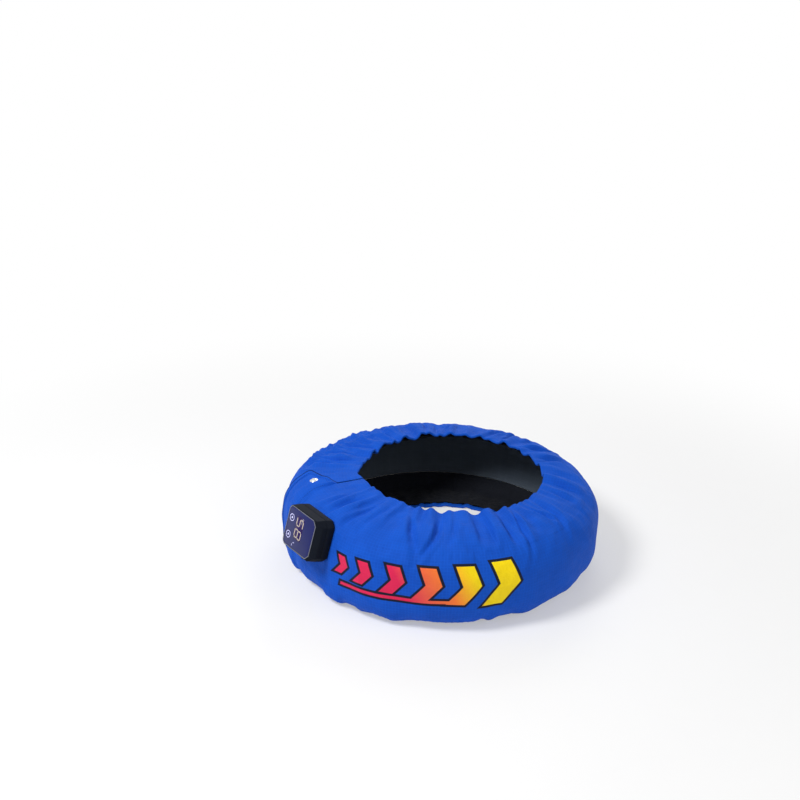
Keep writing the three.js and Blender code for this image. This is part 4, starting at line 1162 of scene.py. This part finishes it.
    def dress(self) -> None:
        """Parts the cover at its seams and makes the three panels."""
        self.settle()
        printed = self.builder.palette.printed
        tread = self.rows_of["tread"]
        panel = self.builder.shell(
            "tread_panel_cloth", self.points[tread], self.thickness, self.cloth[tread],
            material=printed, slot=Slot.COVER, stands_for=["tread_panel"])
        upper, lower = self.rows_of["upper"], self.rows_of["lower"]
        self.skirt(Side.UPPER, "upper_skirt", self.points[upper], self.cloth[upper])
        self.skirt(Side.LOWER, "lower_skirt", self.points[lower][::-1, ::-1],
                   self.cloth[lower][::-1, ::-1])


@dataclass
class Closure:
    """Flap that laps over the joint, the fastener tapes under it and its press stud."""

    cover: "Cover"
    reach_angle: float = 189.0
    corner_angle: float = 185.0
    root_angle: float = 205.0
    top_end_angle: float = 197.9
    top_root_angle: float = 198.6
    corner_place: float = 1.37
    top_place: float = 1.70
    low_place: float = -0.98
    lift: float = 0.0049
    root_lift: float = -0.0012
    bow: tuple = (0.0007, 0.0005)
    curl: float = 0.0026
    border: float = 0.0095
    border_rise: float = 0.0016
    groove: float = 0.0018
    piping: float = 0.0013
    thickness: float = 0.0014
    rows: int = 150
    columns: int = 64
    tape_start: float = 190.6
    tape_end: float = 196.4
    tape_reach: float = 0.84
    stud_angle: float = 193.6
    stud_place: float = 1.405
    cap_radius: float = 0.0084
    cap_height: float = 0.0044

    def outline(self, place: np.ndarray) -> tuple[np.ndarray, np.ndarray]:
        """Angles of the flap's free end and of its root at each place up the cover."""
        stops = [self.low_place, 0.9, self.corner_place - 0.03, self.corner_place + 0.03,
                 self.top_place]
        ends = [self.reach_angle, self.reach_angle, self.corner_angle + 0.2,
                self.corner_angle + 0.5, self.top_end_angle]
        end = np.interp(place, stops, ends)
        root = np.interp(place, [1.0, self.top_place], [self.root_angle, self.top_root_angle])
        kernel = np.hanning(9)
        pad = len(kernel) // 2
        wide = np.pad(end, pad, mode="edge")
        return np.convolve(wide, kernel / kernel.sum(), mode="valid"), root

    def flap_grid(self) -> tuple[np.ndarray, np.ndarray]:
        """Flap over the cover: it lifts off from its root to its free end, and bows a little."""
        place = np.linspace(self.low_place, self.top_place, self.rows)
        end, root = self.outline(place)
        share = np.linspace(0.0, 1.0, self.columns)
        angle = end[:, None] + (root - end)[:, None] * share[None, :]
        rows = np.broadcast_to(place[:, None], angle.shape)
        held = ease((1.0 - share[None, :]) / 0.22) * ease((self.top_place + 0.01 - rows) / 0.12)
        bow = (self.bow[0] * np.sin(rows * 5.1 + 0.8)
               + self.bow[1] * np.sin(angle * 1.1 + rows * 9.0))
        curl = (self.curl * np.exp(-((rows - self.corner_place) / 0.12) ** 2)
                * (1.0 - share) ** 3)
        stud = np.exp(-(((angle - self.stud_angle) / 1.5) ** 2
                        + ((rows - self.stud_place) / 0.07) ** 2))
        height = mix(self.root_lift, self.lift + bow * (1.0 - stud) + curl - 0.0004 * stud, held)
        radius = mix(self.cover.form.radius, 0.26, np.clip(rows - 1.0, 0.0, 1.0))
        from_end = np.radians(angle - end[:, None]) * radius
        from_top = (self.top_place - rows) * 0.12
        inside = np.minimum(from_end, from_top)
        double = 1.0 - ease((inside - self.border) / 0.0016)
        sunk = np.exp(-((inside - self.border - 0.0022) / 0.0013) ** 2)
        height = height + (self.border_rise * double - self.groove * sunk) * held
        even = mix(0.7, 1.0, np.clip(stud * 1.6, 0.0, 1.0))
        grid = self.cover.surface(angle, rows, height + self.thickness, smooth=even)
        turn = np.radians(angle - self.reach_angle) * self.cover.form.radius
        run = np.concatenate([[0.0], np.cumsum(np.linalg.norm(
            np.diff(grid[:, 0], axis=0), axis=1))])
        uv = np.stack([turn, np.broadcast_to(run[:, None], turn.shape)], axis=-1)
        return grid, uv

    def tape(self, name: str, low: float, thickness: float) -> None:
        """Strip of fastener tape over the cover, at a distance above it."""
        place, angle = np.meshgrid(np.linspace(-self.tape_reach, self.tape_reach, 60),
                                   np.linspace(self.tape_start, self.tape_end, 12),
                                   indexing="ij")
        grid = self.cover.surface(angle, place, low + thickness, smooth=1.0)
        uv = np.stack([np.radians(angle) * self.cover.form.radius,
                       place * self.cover.form.seam], axis=-1)
        piece = self.cover.builder.shell(
            f"{name}_strip", grid, thickness, uv, material=self.cover.builder.palette.tape,
            slot=Slot.TAPE, stands_for=[name])

    def lay_shadow_piping(self, name: str, path: np.ndarray, normal: np.ndarray) -> None:
        """Dark piping along an edge of the flap, which paints the shadow line under the edge as a
        dark binding: a round tube carried along it, closed at both ends.
        """
        along = np.gradient(path, axis=0)
        along = along / np.linalg.norm(along, axis=1, keepdims=True)
        side = np.cross(normal, along)
        middle = path - normal * self.thickness * 0.4
        turns = np.linspace(0.0, 2.0 * math.pi, 8, endpoint=False)
        rings = (middle[:, None] + side[:, None] * (np.cos(turns) * self.piping)[:, None]
                 + normal[:, None] * (np.sin(turns) * self.piping)[:, None])
        self.cover.builder.loft(name, rings[:, ::-1], material=self.cover.builder.palette.thread,
                                slot=Slot.COVER)

    def press_stud(self) -> None:
        """Cap of the press stud, domed with a rolled rim and a dimple in its middle."""
        builder = self.cover.builder
        at = np.array([[self.stud_angle]]), np.array([[self.stud_place]])
        base = self.cover.surface(*at, self.lift + self.thickness - 0.0006, smooth=1.0)[0, 0]
        probe = self.cover.surface(
            np.array([[self.stud_angle, self.stud_angle + 0.6]] * 2),
            np.array([[self.stud_place] * 2, [self.stud_place + 0.05] * 2]), 0.0, smooth=1.0)
        across, along = probe[0, 1] - probe[0, 0], probe[1, 0] - probe[0, 0]
        out = Vector(np.cross(across, along)).normalized()
        side = Vector(across).normalized()
        frame_of = Matrix((side, out.cross(side), out)).transposed().to_4x4()
        frame_of.translation = Vector(base)
        r, h = self.cap_radius, self.cap_height
        roll = np.linspace(-90.0, 75.0, 12)
        rim = [(r - 0.0009 + 0.0009 * math.cos(math.radians(a)),
                0.0009 + 0.0009 * math.sin(math.radians(a))) for a in roll]
        dome = [(r * s, h - (h - 0.0017) * (s / 0.86) ** 2.4 - 0.0007 * math.exp(-(s / 0.25) ** 2))
                for s in np.linspace(0.84, 0.02, 22)]
        profile = np.array([(0.0012, 0.0), *rim, *dome])
        builder.loft("stud_cap_dome", builder.turned(profile, 48), frame_of,
                     material=builder.palette.nickel, slot=Slot.NICKEL, sharp=50.0,
                     stands_for=["snap_cap"])

    def dress(self) -> None:
        """Makes the flap, its tapes, its stitches and its press stud."""
        builder = self.cover.builder
        grid, uv = self.flap_grid()
        flap = builder.shell("closure_flap_cloth", grid, self.thickness, uv,
                             material=builder.palette.cover, slot=Slot.COVER,
                             stands_for=["closure_flap"])
        self.tape("loop_tape", 0.0003, 0.0014)
        self.tape("hook_tape", 0.0019, 0.0014)
        self.press_stud()
        normal = normals_of(grid)
        # Dark piping on the free end and the top edge stands for the shadow line under them:
        # painted shadow.
        self.lay_shadow_piping("flap_end_piping_painted_shadow", grid[4:, 0], normal[4:, 0])
        self.lay_shadow_piping("flap_top_piping_painted_shadow", grid[-1], normal[-1])
        inset = 7
        edge = np.concatenate([grid[inset:-inset, inset], grid[-1 - inset, inset:-inset]])
        lift = np.concatenate([normal[inset:-inset, inset], normal[-1 - inset, inset:-inset]])
        Stitching(builder).run("flap_edge_stitches", edge, lift)
        Stitching(builder).run("flap_root_stitches", grid[inset:-inset, -1 - inset],
                               normal[inset:-inset, -1 - inset])


@dataclass
class Stitching:
    """Row of thread stitches that lie on a cloth."""

    builder: Builder
    pitch: float = 0.0044
    length: float = 0.0032
    radius: float = 0.00032

    def run(self, name: str, path: np.ndarray, normal: np.ndarray) -> None:
        """Lays stitches along a path: each is a slim spindle with five sides.

        Args:
            name: the piece's name.
            path: points along the seam.
            normal: the cloth's outward normal at each point.
        """
        step = np.linalg.norm(np.diff(path, axis=0), axis=1)
        run = np.concatenate([[0.0], np.cumsum(step)])
        middles = np.arange(self.pitch, run[-1] - self.pitch, self.pitch)
        ends = [np.stack([np.interp(middles + s * self.length / 2, run, path[:, k])
                          for k in range(3)], axis=1) for s in (-1.0, 1.0)]
        out = np.stack([np.interp(middles, run, normal[:, k]) for k in range(3)], axis=1)
        centre, along = (ends[0] + ends[1]) / 2, ends[1] - ends[0]
        along = along / np.linalg.norm(along, axis=1, keepdims=True)
        side = np.cross(out, along)
        side = side / np.linalg.norm(side, axis=1, keepdims=True)
        out = np.cross(along, side)
        turns = np.linspace(0.0, 2 * math.pi, 5, endpoint=False)
        profile = [(-0.5, 0.25, -0.6), (-0.3, 0.9, 0.1), (0.3, 0.9, 0.1), (0.5, 0.25, -0.6)]
        local = np.array([(x * self.length, w * self.radius * math.cos(t),
                           w * self.radius * math.sin(t) + d * self.radius)
                          for x, w, d in profile for t in turns])
        points = (centre[:, None] + local[None, :, :1] * along[:, None]
                  + local[None, :, 1:2] * side[:, None] + local[None, :, 2:] * out[:, None])
        size = len(turns)
        rows = len(profile)
        j = np.arange(size)
        k = (j + 1) % size
        faces = [[r * size + a, r * size + b, (r + 1) * size + b, (r + 1) * size + a]
                 for r in range(rows - 1) for a, b in zip(j, k)]
        one = [list(map(int, f)) for f in faces]
        one += [list(range(size))[::-1], list(range((rows - 1) * size, rows * size))]
        many = [[n * size * rows + v for v in f] for n in range(len(centre)) for f in one]
        self.builder.publish(name, points, many, self.builder.palette.thread, Slot.COVER)


@dataclass
class Plies:
    """What lines the cover: batting, heating mat, the linings and the hems' elastic."""

    cover: "Cover"
    batting_depth: float = 0.0040
    batting_thickness: float = 0.0082
    batting_half: float = 0.066
    mat_depth: float = 0.0134
    mat_thickness: float = 0.003
    mat_half: float = 0.059
    lining_thickness: float = 0.0012
    hem_sink: float = 0.0112
    under: float = 0.0042
    elastic_half: float = 0.0025
    elastic_thick: float = 0.0007
    columns: int = 361

    def ply(self, name: str, node: str, half: float, depth: float, thickness: float,
            material: bpy.types.Material, slot: Slot, rows: int) -> bpy.types.Object:
        """Ply that follows the crown between two heights at a depth."""
        form = self.cover.form
        height, angle = np.meshgrid(np.linspace(-half, half, rows), form.around(self.columns),
                                    indexing="ij")
        r, q = form.crown(angle, height, depth)
        wrinkle = 0.0004 * ripple(angle / 360.0 + height * 0.3, 23, 31) * ease(
            (half - np.abs(height)) / 0.02)
        grid = form.lay(angle, r + wrinkle, form.mid + q, self.cover.axis)
        uv = np.stack([np.radians(angle) * form.radius, height], axis=-1)
        return self.cover.builder.shell(name, grid, thickness, uv, material=material, slot=slot,
                                        stands_for=[node])

    def lining(self, side: Side, name: str, node: str) -> None:
        """Lining from beside the mat to under the hem, in slack shallow folds."""
        form = self.cover.form
        up = side.value
        share, angle = np.meshgrid(np.linspace(0.0, 1.0, 46), form.around(self.columns),
                                   indexing="ij")
        start = (self.mat_half + 0.001) / form.seam
        place = start + share * (1.93 - start)
        r, z = form.section(angle, up * place)
        smooth = form.lay(angle, r, z, self.cover.axis)
        out = normals_of(smooth) * up
        sink = mix(self.mat_depth, self.hem_sink, ease((place - 1.0) / 0.6))
        if side is Side.LOWER:
            sink = np.minimum(sink, 0.006 + 0.01 * (1.0 - ease((place - 0.9) / 0.5)))
        slack = 0.0016 * ripple(angle / 360.0 + share * 0.004, 31, 40 + up) * ease(
            (place - 1.0) / 0.5)
        settled = self.cover.surface(angle, up * place, 0.0)
        stands = np.sum((settled - smooth) * out, axis=-1)
        offset = np.minimum(-(sink + slack), stands - self.under)
        grid = smooth + out * offset[..., None]
        uv = np.stack([np.radians(angle) * form.radius, place * form.seam], axis=-1)
        if side is Side.LOWER:
            grid, uv = grid[::-1], uv[::-1]
        piece = self.cover.builder.shell(
            name, grid, self.lining_thickness, uv, material=self.cover.builder.palette.lining,
            slot=Slot.DARK_CLOTH, stands_for=[node])

    def elastic(self, side: Side, name: str, node: str) -> None:
        """Flat elastic in a hem's channel: an oval, wide along the cloth, carried round it."""
        middle, along, out = (a[::2] for a in self.cover.hems[side])
        turns = np.linspace(0.0, 2.0 * math.pi, 10, endpoint=False)
        rings = (middle[:, None] + along[:, None] * (np.cos(turns) * self.elastic_half)[:, None]
                 + out[:, None] * (np.sin(turns) * self.elastic_thick)[:, None])
        if side is Side.LOWER:
            rings = rings[:, ::-1]
        self.cover.builder.loft(name, rings[:, ::-1], material=self.cover.builder.palette.tape,
                                slot=Slot.TAPE, stands_for=[node])

    def dress(self) -> None:
        """Makes every ply."""
        palette = self.cover.builder.palette
        pad = self.ply("batting_pad", "batting", self.batting_half, self.batting_depth,
                       self.batting_thickness, palette.batting, Slot.BATTING, 16)
        mat = self.ply("heating_mat_face", "heating_mat", self.mat_half, self.mat_depth,
                       self.mat_thickness, palette.heater, Slot.HEATER, 40)
        ends = (Side.UPPER, "upper"), (Side.LOWER, "lower")
        for side, word in ends:
            self.lining(side, f"{word}_lining_cloth", f"{word}_skirt_lining")
        for side, word in ends:
            self.elastic(side, f"{word}_elastic_braid", f"{word}_hem_elastic")


@dataclass(frozen=True)
class CaseForm:
    """Outline of the controller: rounded at the key end and clipped at the nose."""

    length: float = 0.102
    width: float = 0.084
    height: float = 0.038
    split: float = 0.017
    round: float = 0.013
    clip: float = 0.011
    corner: float = 0.0035
    draft: float = 0.0015
    edge: float = 0.0012
    nose_length: float = 0.007
    nose_drop: float = 0.010
    panel_margin: float = 0.003
    panel_thickness: float = 0.0013
    gap: float = 0.0003
    soft: float = 0.0016

    def outline(self, inset: float, nose: float = 0.0, steps: int = 10) -> np.ndarray:
        """Counterclockwise outline, drawn in by an inset, with every corner an arc."""
        left, right = -self.length / 2 + inset, self.length / 2 - inset - nose
        half = self.width / 2 - inset
        clip = self.clip - inset * (2.0 - math.sqrt(2.0))
        big = max(self.round - inset, MM)
        small = max(self.corner - inset * 0.4, 0.0008)
        corners = [
            ((right - clip, -half), small), ((right, -half + clip), small),
            ((right, half - clip), small), ((right - clip, half), small),
            ((left, half), big), ((left, -half), big),
        ]
        count = len(corners)
        points = []
        for k, (corner, radius) in enumerate(corners):
            here = np.array(corner)
            before = np.array(corners[k - 1][0]) - here
            after = np.array(corners[(k + 1) % count][0]) - here
            before, after = before / np.linalg.norm(before), after / np.linalg.norm(after)
            bend = math.acos(float(np.clip(-before @ after, -1.0, 1.0)))
            start = here + before * radius * math.tan(bend / 2)
            middle = start + np.array([before[1], -before[0]]) * radius
            first = math.atan2(*(start - middle)[::-1])
            turns = first + np.linspace(0.0, bend, steps + 1)
            points.append(middle + radius * np.stack([np.cos(turns), np.sin(turns)], axis=1))
        return np.concatenate(points)

    def ring(self, inset: float, z: float, nose: float = 0.0, sloped: bool = False) -> np.ndarray:
        """Outline at a height, lowered to the slope of the nose where that is lower."""
        flat = self.outline(inset, nose)
        height = np.full(len(flat), z)
        if sloped:
            start = self.length / 2 - self.draft - self.nose_length
            slope = self.height - (flat[:, 0] - start) * self.nose_drop / self.nose_length
            height = np.minimum(soft_min(height, slope, self.soft), height)
        return np.concatenate([flat, height[:, None]], axis=1)


@dataclass
class Controller:
    """Digital controller: case in two halves, face film with keys and digits, and gland."""

    builder: Builder
    place: Matrix
    form: CaseForm = field(default_factory=CaseForm)
    digit_x: float = -0.0065
    digit_y: float = 0.005
    digit_height: float = 0.0205
    digit_width: float = 0.0150
    digit_pitch: float = 0.0225
    stroke: float = 0.0021
    key_x: float = -0.0345
    key_y: float = 0.017
    key_radius: float = 0.0072
    key_stroke: float = 0.0014
    key_dot: float = 0.0022
    digit_lean: float = 0.10
    glass_power: float = 0.22
    gland_x: float = -0.008
    gland_sink: float = 0.0036
    gland_rise: float = 0.009
    rib_depth: float = 0.035

    def base(self) -> None:
        """Lower half of the case, with a softened foot and a groove under the split."""
        f = self.form
        rows = [f.ring(f.edge, 0.0), f.ring(0.35 * f.edge, 0.35 * f.edge), f.ring(0.0, f.edge),
                f.ring(0.0, f.split * 0.5), f.ring(0.0, f.split - 0.0006),
                f.ring(0.0004, f.split - 0.0001), f.ring(0.0012, f.split)]
        self.builder.loft("case_base_shell", np.stack(rows), self.place,
                          material=self.builder.palette.plastic, slot=Slot.CASE, sharp=40.0,
                          stands_for=["case_base"])

    def lid(self) -> None:
        """Upper half: drafted wall, rounded shoulder, thin lip and a recess for the film."""
        f = self.form
        low, top = f.split + f.gap, f.height
        rows = [f.ring(0.0012, low), f.ring(0.0004, low + 0.0001), f.ring(0.0, low + 0.0006)]
        for share in (0.25, 0.5, 0.75, 0.92):
            rows.append(f.ring(f.draft * share, mix(low, top - 0.002, share), sloped=True))
        for turn in np.radians([0.0, 20.0, 40.0, 60.0, 75.0, 90.0]):
            inset = f.draft + f.soft * (1.0 - math.cos(turn))
            rows.append(f.ring(inset, top - f.soft * (1.0 - math.sin(turn)), sloped=True))
        inner = f.draft + f.panel_margin - f.gap
        rows.append(f.ring(inner - 0.0002, top, f.nose_length - f.gap, sloped=True))
        rows.append(f.ring(inner, top - 0.0002, f.nose_length - f.gap))
        rows.append(f.ring(inner, top - f.panel_thickness - f.gap, f.nose_length - f.gap))
        self.builder.loft("case_cover_shell", np.stack(rows), self.place,
                          material=self.builder.palette.plastic, slot=Slot.CASE, sharp=40.0,
                          stands_for=["case_cover"])

    def lip(self) -> None:
        """Thin lip that stands round the film's long side and its clipped corner, pale as a
        painted highlight of that edge.
        """
        f = self.form
        inner = f.draft + f.panel_margin - f.gap
        rows = []
        for spread, z in ((0.0, -0.0008), (0.0, 0.00012), (0.0006, 0.0004), (0.0012, 0.00012),
                          (0.0012, -0.0008)):
            rows.append(f.ring(inner - spread, f.height + z, f.nose_length - f.gap))
        self.builder.hoop("face_lip_painted_highlight", np.stack([*rows, rows[0]]), self.place,
                          material=self.builder.palette.lip, slot=Slot.CASE, sharp=40.0)

    def film(self) -> None:
        """Glossy face film with a finely bevelled edge."""
        f = self.form
        inset, top = f.draft + f.panel_margin, f.height
        rows = [f.ring(inset, top - f.panel_thickness, f.nose_length),
                f.ring(inset, top - 0.0003, f.nose_length),
                f.ring(inset + 0.0001, top - 0.0001, f.nose_length),
                f.ring(inset + 0.0003, top, f.nose_length)]
        self.builder.loft("face_film_sheet", np.stack(rows), self.place,
                          material=self.builder.palette.panel, slot=Slot.PANEL, sharp=30.0,
                          stands_for=["face_panel"])

    def prism(self, outline: np.ndarray, low: float, high: float) -> tuple[np.ndarray, list]:
        """Points and faces of an upright prism on a counterclockwise outline."""
        n = len(outline)
        points = np.concatenate([np.column_stack([outline, np.full(n, z)]) for z in (low, high)])
        sides = [[k, (k + 1) % n, n + (k + 1) % n, n + k] for k in range(n)]
        return points, sides + [list(range(n))[::-1], list(range(n, 2 * n))]

    def marks(self, name: str, outlines: Sequence[np.ndarray], low: float, high: float,
              material: bpy.types.Material) -> None:
        """Thin flat marks on the film, joined into one piece."""
        points, faces, start = [], [], 0
        for outline in outlines:
            p, f = self.prism(outline, self.form.height + low, self.form.height + high)
            points.append(p)
            faces += [[v + start for v in face] for face in f]
            start += len(p)
        placed = self.builder.placed(np.concatenate(points), self.place)
        self.builder.publish(name, placed, faces, material, Slot.PANEL)

    def segment(self, centre: tuple, length: float, upright: bool) -> np.ndarray:
        """Hexagon of one segment, in the digit's own upright frame."""
        h, s = length / 2 - 0.0005, self.stroke / 2
        flat = np.array([(-h, 0), (-h + s, -s), (h - s, -s), (h, 0), (h - s, s), (-h + s, s)])
        if upright:
            flat = flat[:, ::-1] * np.array([-1.0, 1.0])
        return flat + np.array(centre)

    def digits(self) -> None:
        """Two seven-segment digits that read along the case's width."""
        w, h = self.digit_width, self.digit_height
        where = {
            "a": ((0, h / 2), False), "g": ((0, 0), False), "d": ((0, -h / 2), False),
            "f": ((-w / 2, h / 4), True), "b": ((w / 2, h / 4), True),
            "e": ((-w / 2, -h / 4), True), "c": ((w / 2, -h / 4), True),
        }
        lit = {"8": "abcdefg", "5": "afgcd"}
        shapes = []
        for k, digit in enumerate("85"):
            shift = (k - 0.5) * self.digit_pitch
            for key in lit[digit]:
                centre, upright = where[key]
                shape = self.segment(centre, w if not upright else h / 2, upright)
                lean = shape[:, 0] + shape[:, 1] * self.digit_lean
                x, y = -shape[:, 1] + self.digit_x, lean + shift + self.digit_y
                shapes.append(np.stack([x, y], axis=1))
        self.marks("display_digits", shapes, 0.00004, 0.00016, self.builder.palette.digits)
        half_x, half_y = h / 2 + 0.0028, self.digit_pitch + 0.0010
        turns = np.radians(np.arange(0.0, 360.0, 7.5))
        square = np.stack([np.sign(wave) * np.abs(wave) ** self.glass_power * half
                           for wave, half in ((np.cos(turns), half_x), (np.sin(turns), half_y))],
                          axis=1) + np.array([self.digit_x, self.digit_y])
        self.marks("display_glass", [square], -0.0002, 0.00003, self.builder.palette.window)

    def keys(self) -> None:
        """Ring with a dot on each touch key, and two small bars that show the state."""
        turns = np.radians(np.arange(0.0, 360.0, 9.0))
        circle = np.stack([np.cos(turns), np.sin(turns)], axis=1)
        arcs, dots = [], []
        for y in (self.key_y, -self.key_y):
            middle = np.array([self.key_x, y])
            outer, inner = self.key_radius, self.key_radius - self.key_stroke
            for k in range(len(circle)):
                n = (k + 1) % len(circle)
                arcs.append(np.array([circle[k] * inner, circle[k] * outer, circle[n] * outer,
                                      circle[n] * inner]) + middle)
            dots.append(circle * self.key_dot + middle)
        bar = np.array([(-0.0022, -0.0005), (0.0022, -0.0005), (0.0022, 0.0005),
                        (-0.0022, 0.0005)])
        bars = [bar + np.array([-0.0125, -0.0255]), bar[:, ::-1] * [1, -1] + [-0.0165, -0.0310]]
        # The marks' material glows; on the printed rings and dots that glow is painted light.
        self.marks("key_marks", [*arcs, *dots, *bars], 0.00004, 0.00014,
                   self.builder.palette.marks)

    def gland(self) -> None:
        """Cord gland under the case: ribbed nut, tapered sleeve and an open bore."""
        shift = Matrix.Translation(Vector((
            self.gland_x, -(self.form.width / 2) + self.gland_sink, self.gland_rise)))
        frame_of = self.place @ shift @ Matrix.Rotation(math.pi / 2, 4, "X")
        profile = np.array([
            (0.0032, -0.0024), (0.0048, -0.0024), (0.0048, 0.0039), (0.0066, 0.0039),
            (0.0070, 0.0043), (0.0070, 0.0086), (0.0066, 0.0090), (0.0049, 0.0097),
            (0.0047, 0.0110), (0.0044, 0.0150), (0.0041, 0.0188), (0.0036, 0.0189),
            (0.0032, 0.0187), (0.0032, -0.0024)])
        rings = self.builder.turned(profile, 48)
        ribs = 1.0 - self.rib_depth * (np.arange(48) % 4 < 2)
        rings[4:6, :, :2] *= ribs[None, :, None]
        self.builder.hoop("gland_sleeve", rings, frame_of, material=self.builder.palette.plastic,
                          slot=Slot.CASE, sharp=35.0, stands_for=["cord_gland"])

    def dress(self) -> None:
        """Makes the case, its face and its gland."""
        self.base()
        self.lid()
        self.lip()
        self.film()
        self.digits()
        self.keys()
        self.gland()


def dress_works(palette: Palette) -> None:
    """Gives each carried-over CAD node its finish."""
    finishes = {
        "circuit_board": palette.board, "terminal_block": palette.board,
        "display_module": palette.plastic, "relay": palette.plastic,
        "touch_spring_1": palette.steel, "touch_spring_2": palette.steel,
        "mounting_plate": palette.steel, "heater_lead": palette.lead,
        "temperature_probe": palette.lead, "snap_stud": palette.nickel,
        "snap_socket": palette.nickel, "snap_rivet": palette.nickel,
    }
    for name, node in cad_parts.items():
        finish = finishes.get(name, palette.steel if "screw" in name else None)
        if finish is not None:
            node.data.materials.clear()
            node.data.materials.append(finish)


@dataclass
class Studio:
    """Pale floor, soft lamps and the camera at the photograph's angle."""

    distance: float = 2.8
    elevation: float = 22.279
    roll: float = 1.8131
    focal_px: float = 1082.4
    frame_px: float = 800.0
    sensor: float = 36.0
    target: tuple = (-0.0941, 0.5992, 0.088)
    floor_half: float = 6.0
    sky_light: float = 0.34

    def build(self, builder: Builder, axis: Vector) -> None:
        """Makes the floor, the lamps, the world and the camera."""
        self.lay_floor(builder.palette.floor)
        self.hang_lamps()
        self.place_camera(axis)
        scene = bpy.context.scene
        scene.view_settings.view_transform = "Standard"
        world = bpy.data.worlds.new("studio")
        scene.world = world
        world.use_nodes = True
        tree = world.node_tree
        tree.nodes.clear()
        lit, seen = (tree.nodes.new("ShaderNodeBackground") for _ in range(2))
        for sky, strength in ((lit, self.sky_light), (seen, 1.0)):
            sky.inputs["Color"].default_value = (1.0, 1.0, 1.0, 1.0)
            sky.inputs["Strength"].default_value = strength
        rays = tree.nodes.new("ShaderNodeLightPath")
        either, any_of = (tree.nodes.new("ShaderNodeMath") for _ in range(2))
        either.operation = any_of.operation = "MAXIMUM"
        both = tree.nodes.new("ShaderNodeMixShader")
        out = tree.nodes.new("ShaderNodeOutputWorld")
        join(tree, (rays.outputs["Is Camera Ray"], either.inputs[0]),
             (rays.outputs["Is Glossy Ray"], either.inputs[1]),
             (either.outputs[0], any_of.inputs[0]),
             (rays.outputs["Is Transmission Ray"], any_of.inputs[1]),
             (any_of.outputs[0], both.inputs[0]), (lit.outputs[0], both.inputs[1]),
             (seen.outputs[0], both.inputs[2]), (both.outputs[0], out.inputs[0]))

    def lay_floor(self, material: bpy.types.Material) -> None:
        """Flat floor, a hair under the part."""
        h = self.floor_half
        mesh = bpy.data.meshes.new("floor")
        mesh.from_pydata([(-h, -h, 0), (h, -h, 0), (h, h, 0), (-h, h, 0)], [], [(0, 1, 2, 3)])
        mesh.materials.append(material)
        floor = bpy.data.objects.new("floor", mesh)
        bpy.context.scene.collection.objects.link(floor)

    def hang_lamps(self) -> None:
        """Large key from the front left, a fill from the right and a rim from behind."""
        lamps = [
            ("key", (-1.5, -1.1, 2.3), 0.9, 62.0),
            ("fill", (2.1, -1.4, 1.5), 2.2, 13.0),
            ("rim", (0.5, 2.3, 1.9), 1.6, 22.0),
        ]
        for name, place, size, power in lamps:
            data = bpy.data.lights.new(name, "AREA")
            data.shape = "DISK"
            data.size = size
            data.energy = power
            lamp = bpy.data.objects.new(name, data)
            lamp.location = place
            away = Vector((0.0, 0.0, 0.08)) - Vector(place)
            lamp.rotation_euler = away.to_track_quat("-Z", "Y").to_euler()
            bpy.context.scene.collection.objects.link(lamp)

    def place_camera(self, axis: Vector) -> None:
        """Camera on the fitted line of sight, rolled about it."""
        tilt, roll = math.radians(self.elevation), math.radians(self.roll)
        back = Vector((0.0, -math.cos(tilt), math.sin(tilt)))
        right = Vector((1.0, 0.0, 0.0))
        up = Vector((0.0, math.sin(tilt), math.cos(tilt)))
        own_right = right * math.cos(roll) + up * math.sin(roll)
        own_up = up * math.cos(roll) - right * math.sin(roll)
        data = bpy.data.cameras.new("camera")
        data.sensor_width = self.sensor
        data.sensor_fit = "HORIZONTAL"
        data.lens = self.focal_px / self.frame_px * self.sensor
        data.clip_end = 50.0
        camera = bpy.data.objects.new("camera", data)
        placed = Matrix((own_right, own_up, back)).transposed().to_4x4()
        placed.translation = axis + Vector(self.target) + back * self.distance
        camera.matrix_world = placed
        bpy.context.scene.collection.objects.link(camera)
        bpy.context.scene.camera = camera


def ring_axis(form: RingForm) -> Vector:
    """Ring's axis in the row frame, from where the frame has the circuit board."""
    low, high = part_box("circuit_board")
    local = form.case_frame() @ Vector((0.0, 0.0, BOARD_HEIGHT))
    middle = (low + high) / 2.0
    return Vector((middle.x - local.x, middle.y - local.y, 0.0))


def main() -> None:
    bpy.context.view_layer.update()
    palette = Palette()
    builder = Builder(palette)
    form = RingForm()
    axis = ring_axis(form)
    log.info("axis %.5f %.5f", axis.x, axis.y)
    cover = Cover(form, builder, axis)
    cover.dress()
    Plies(cover).dress()
    Closure(cover).dress()
    Controller(builder, Matrix.Translation(axis) @ form.case_frame()).dress()
    dress_works(palette)
    Studio().build(builder, axis)
    log.info("%d pieces", builder.count)


if __name__ == "__main__":
    main()
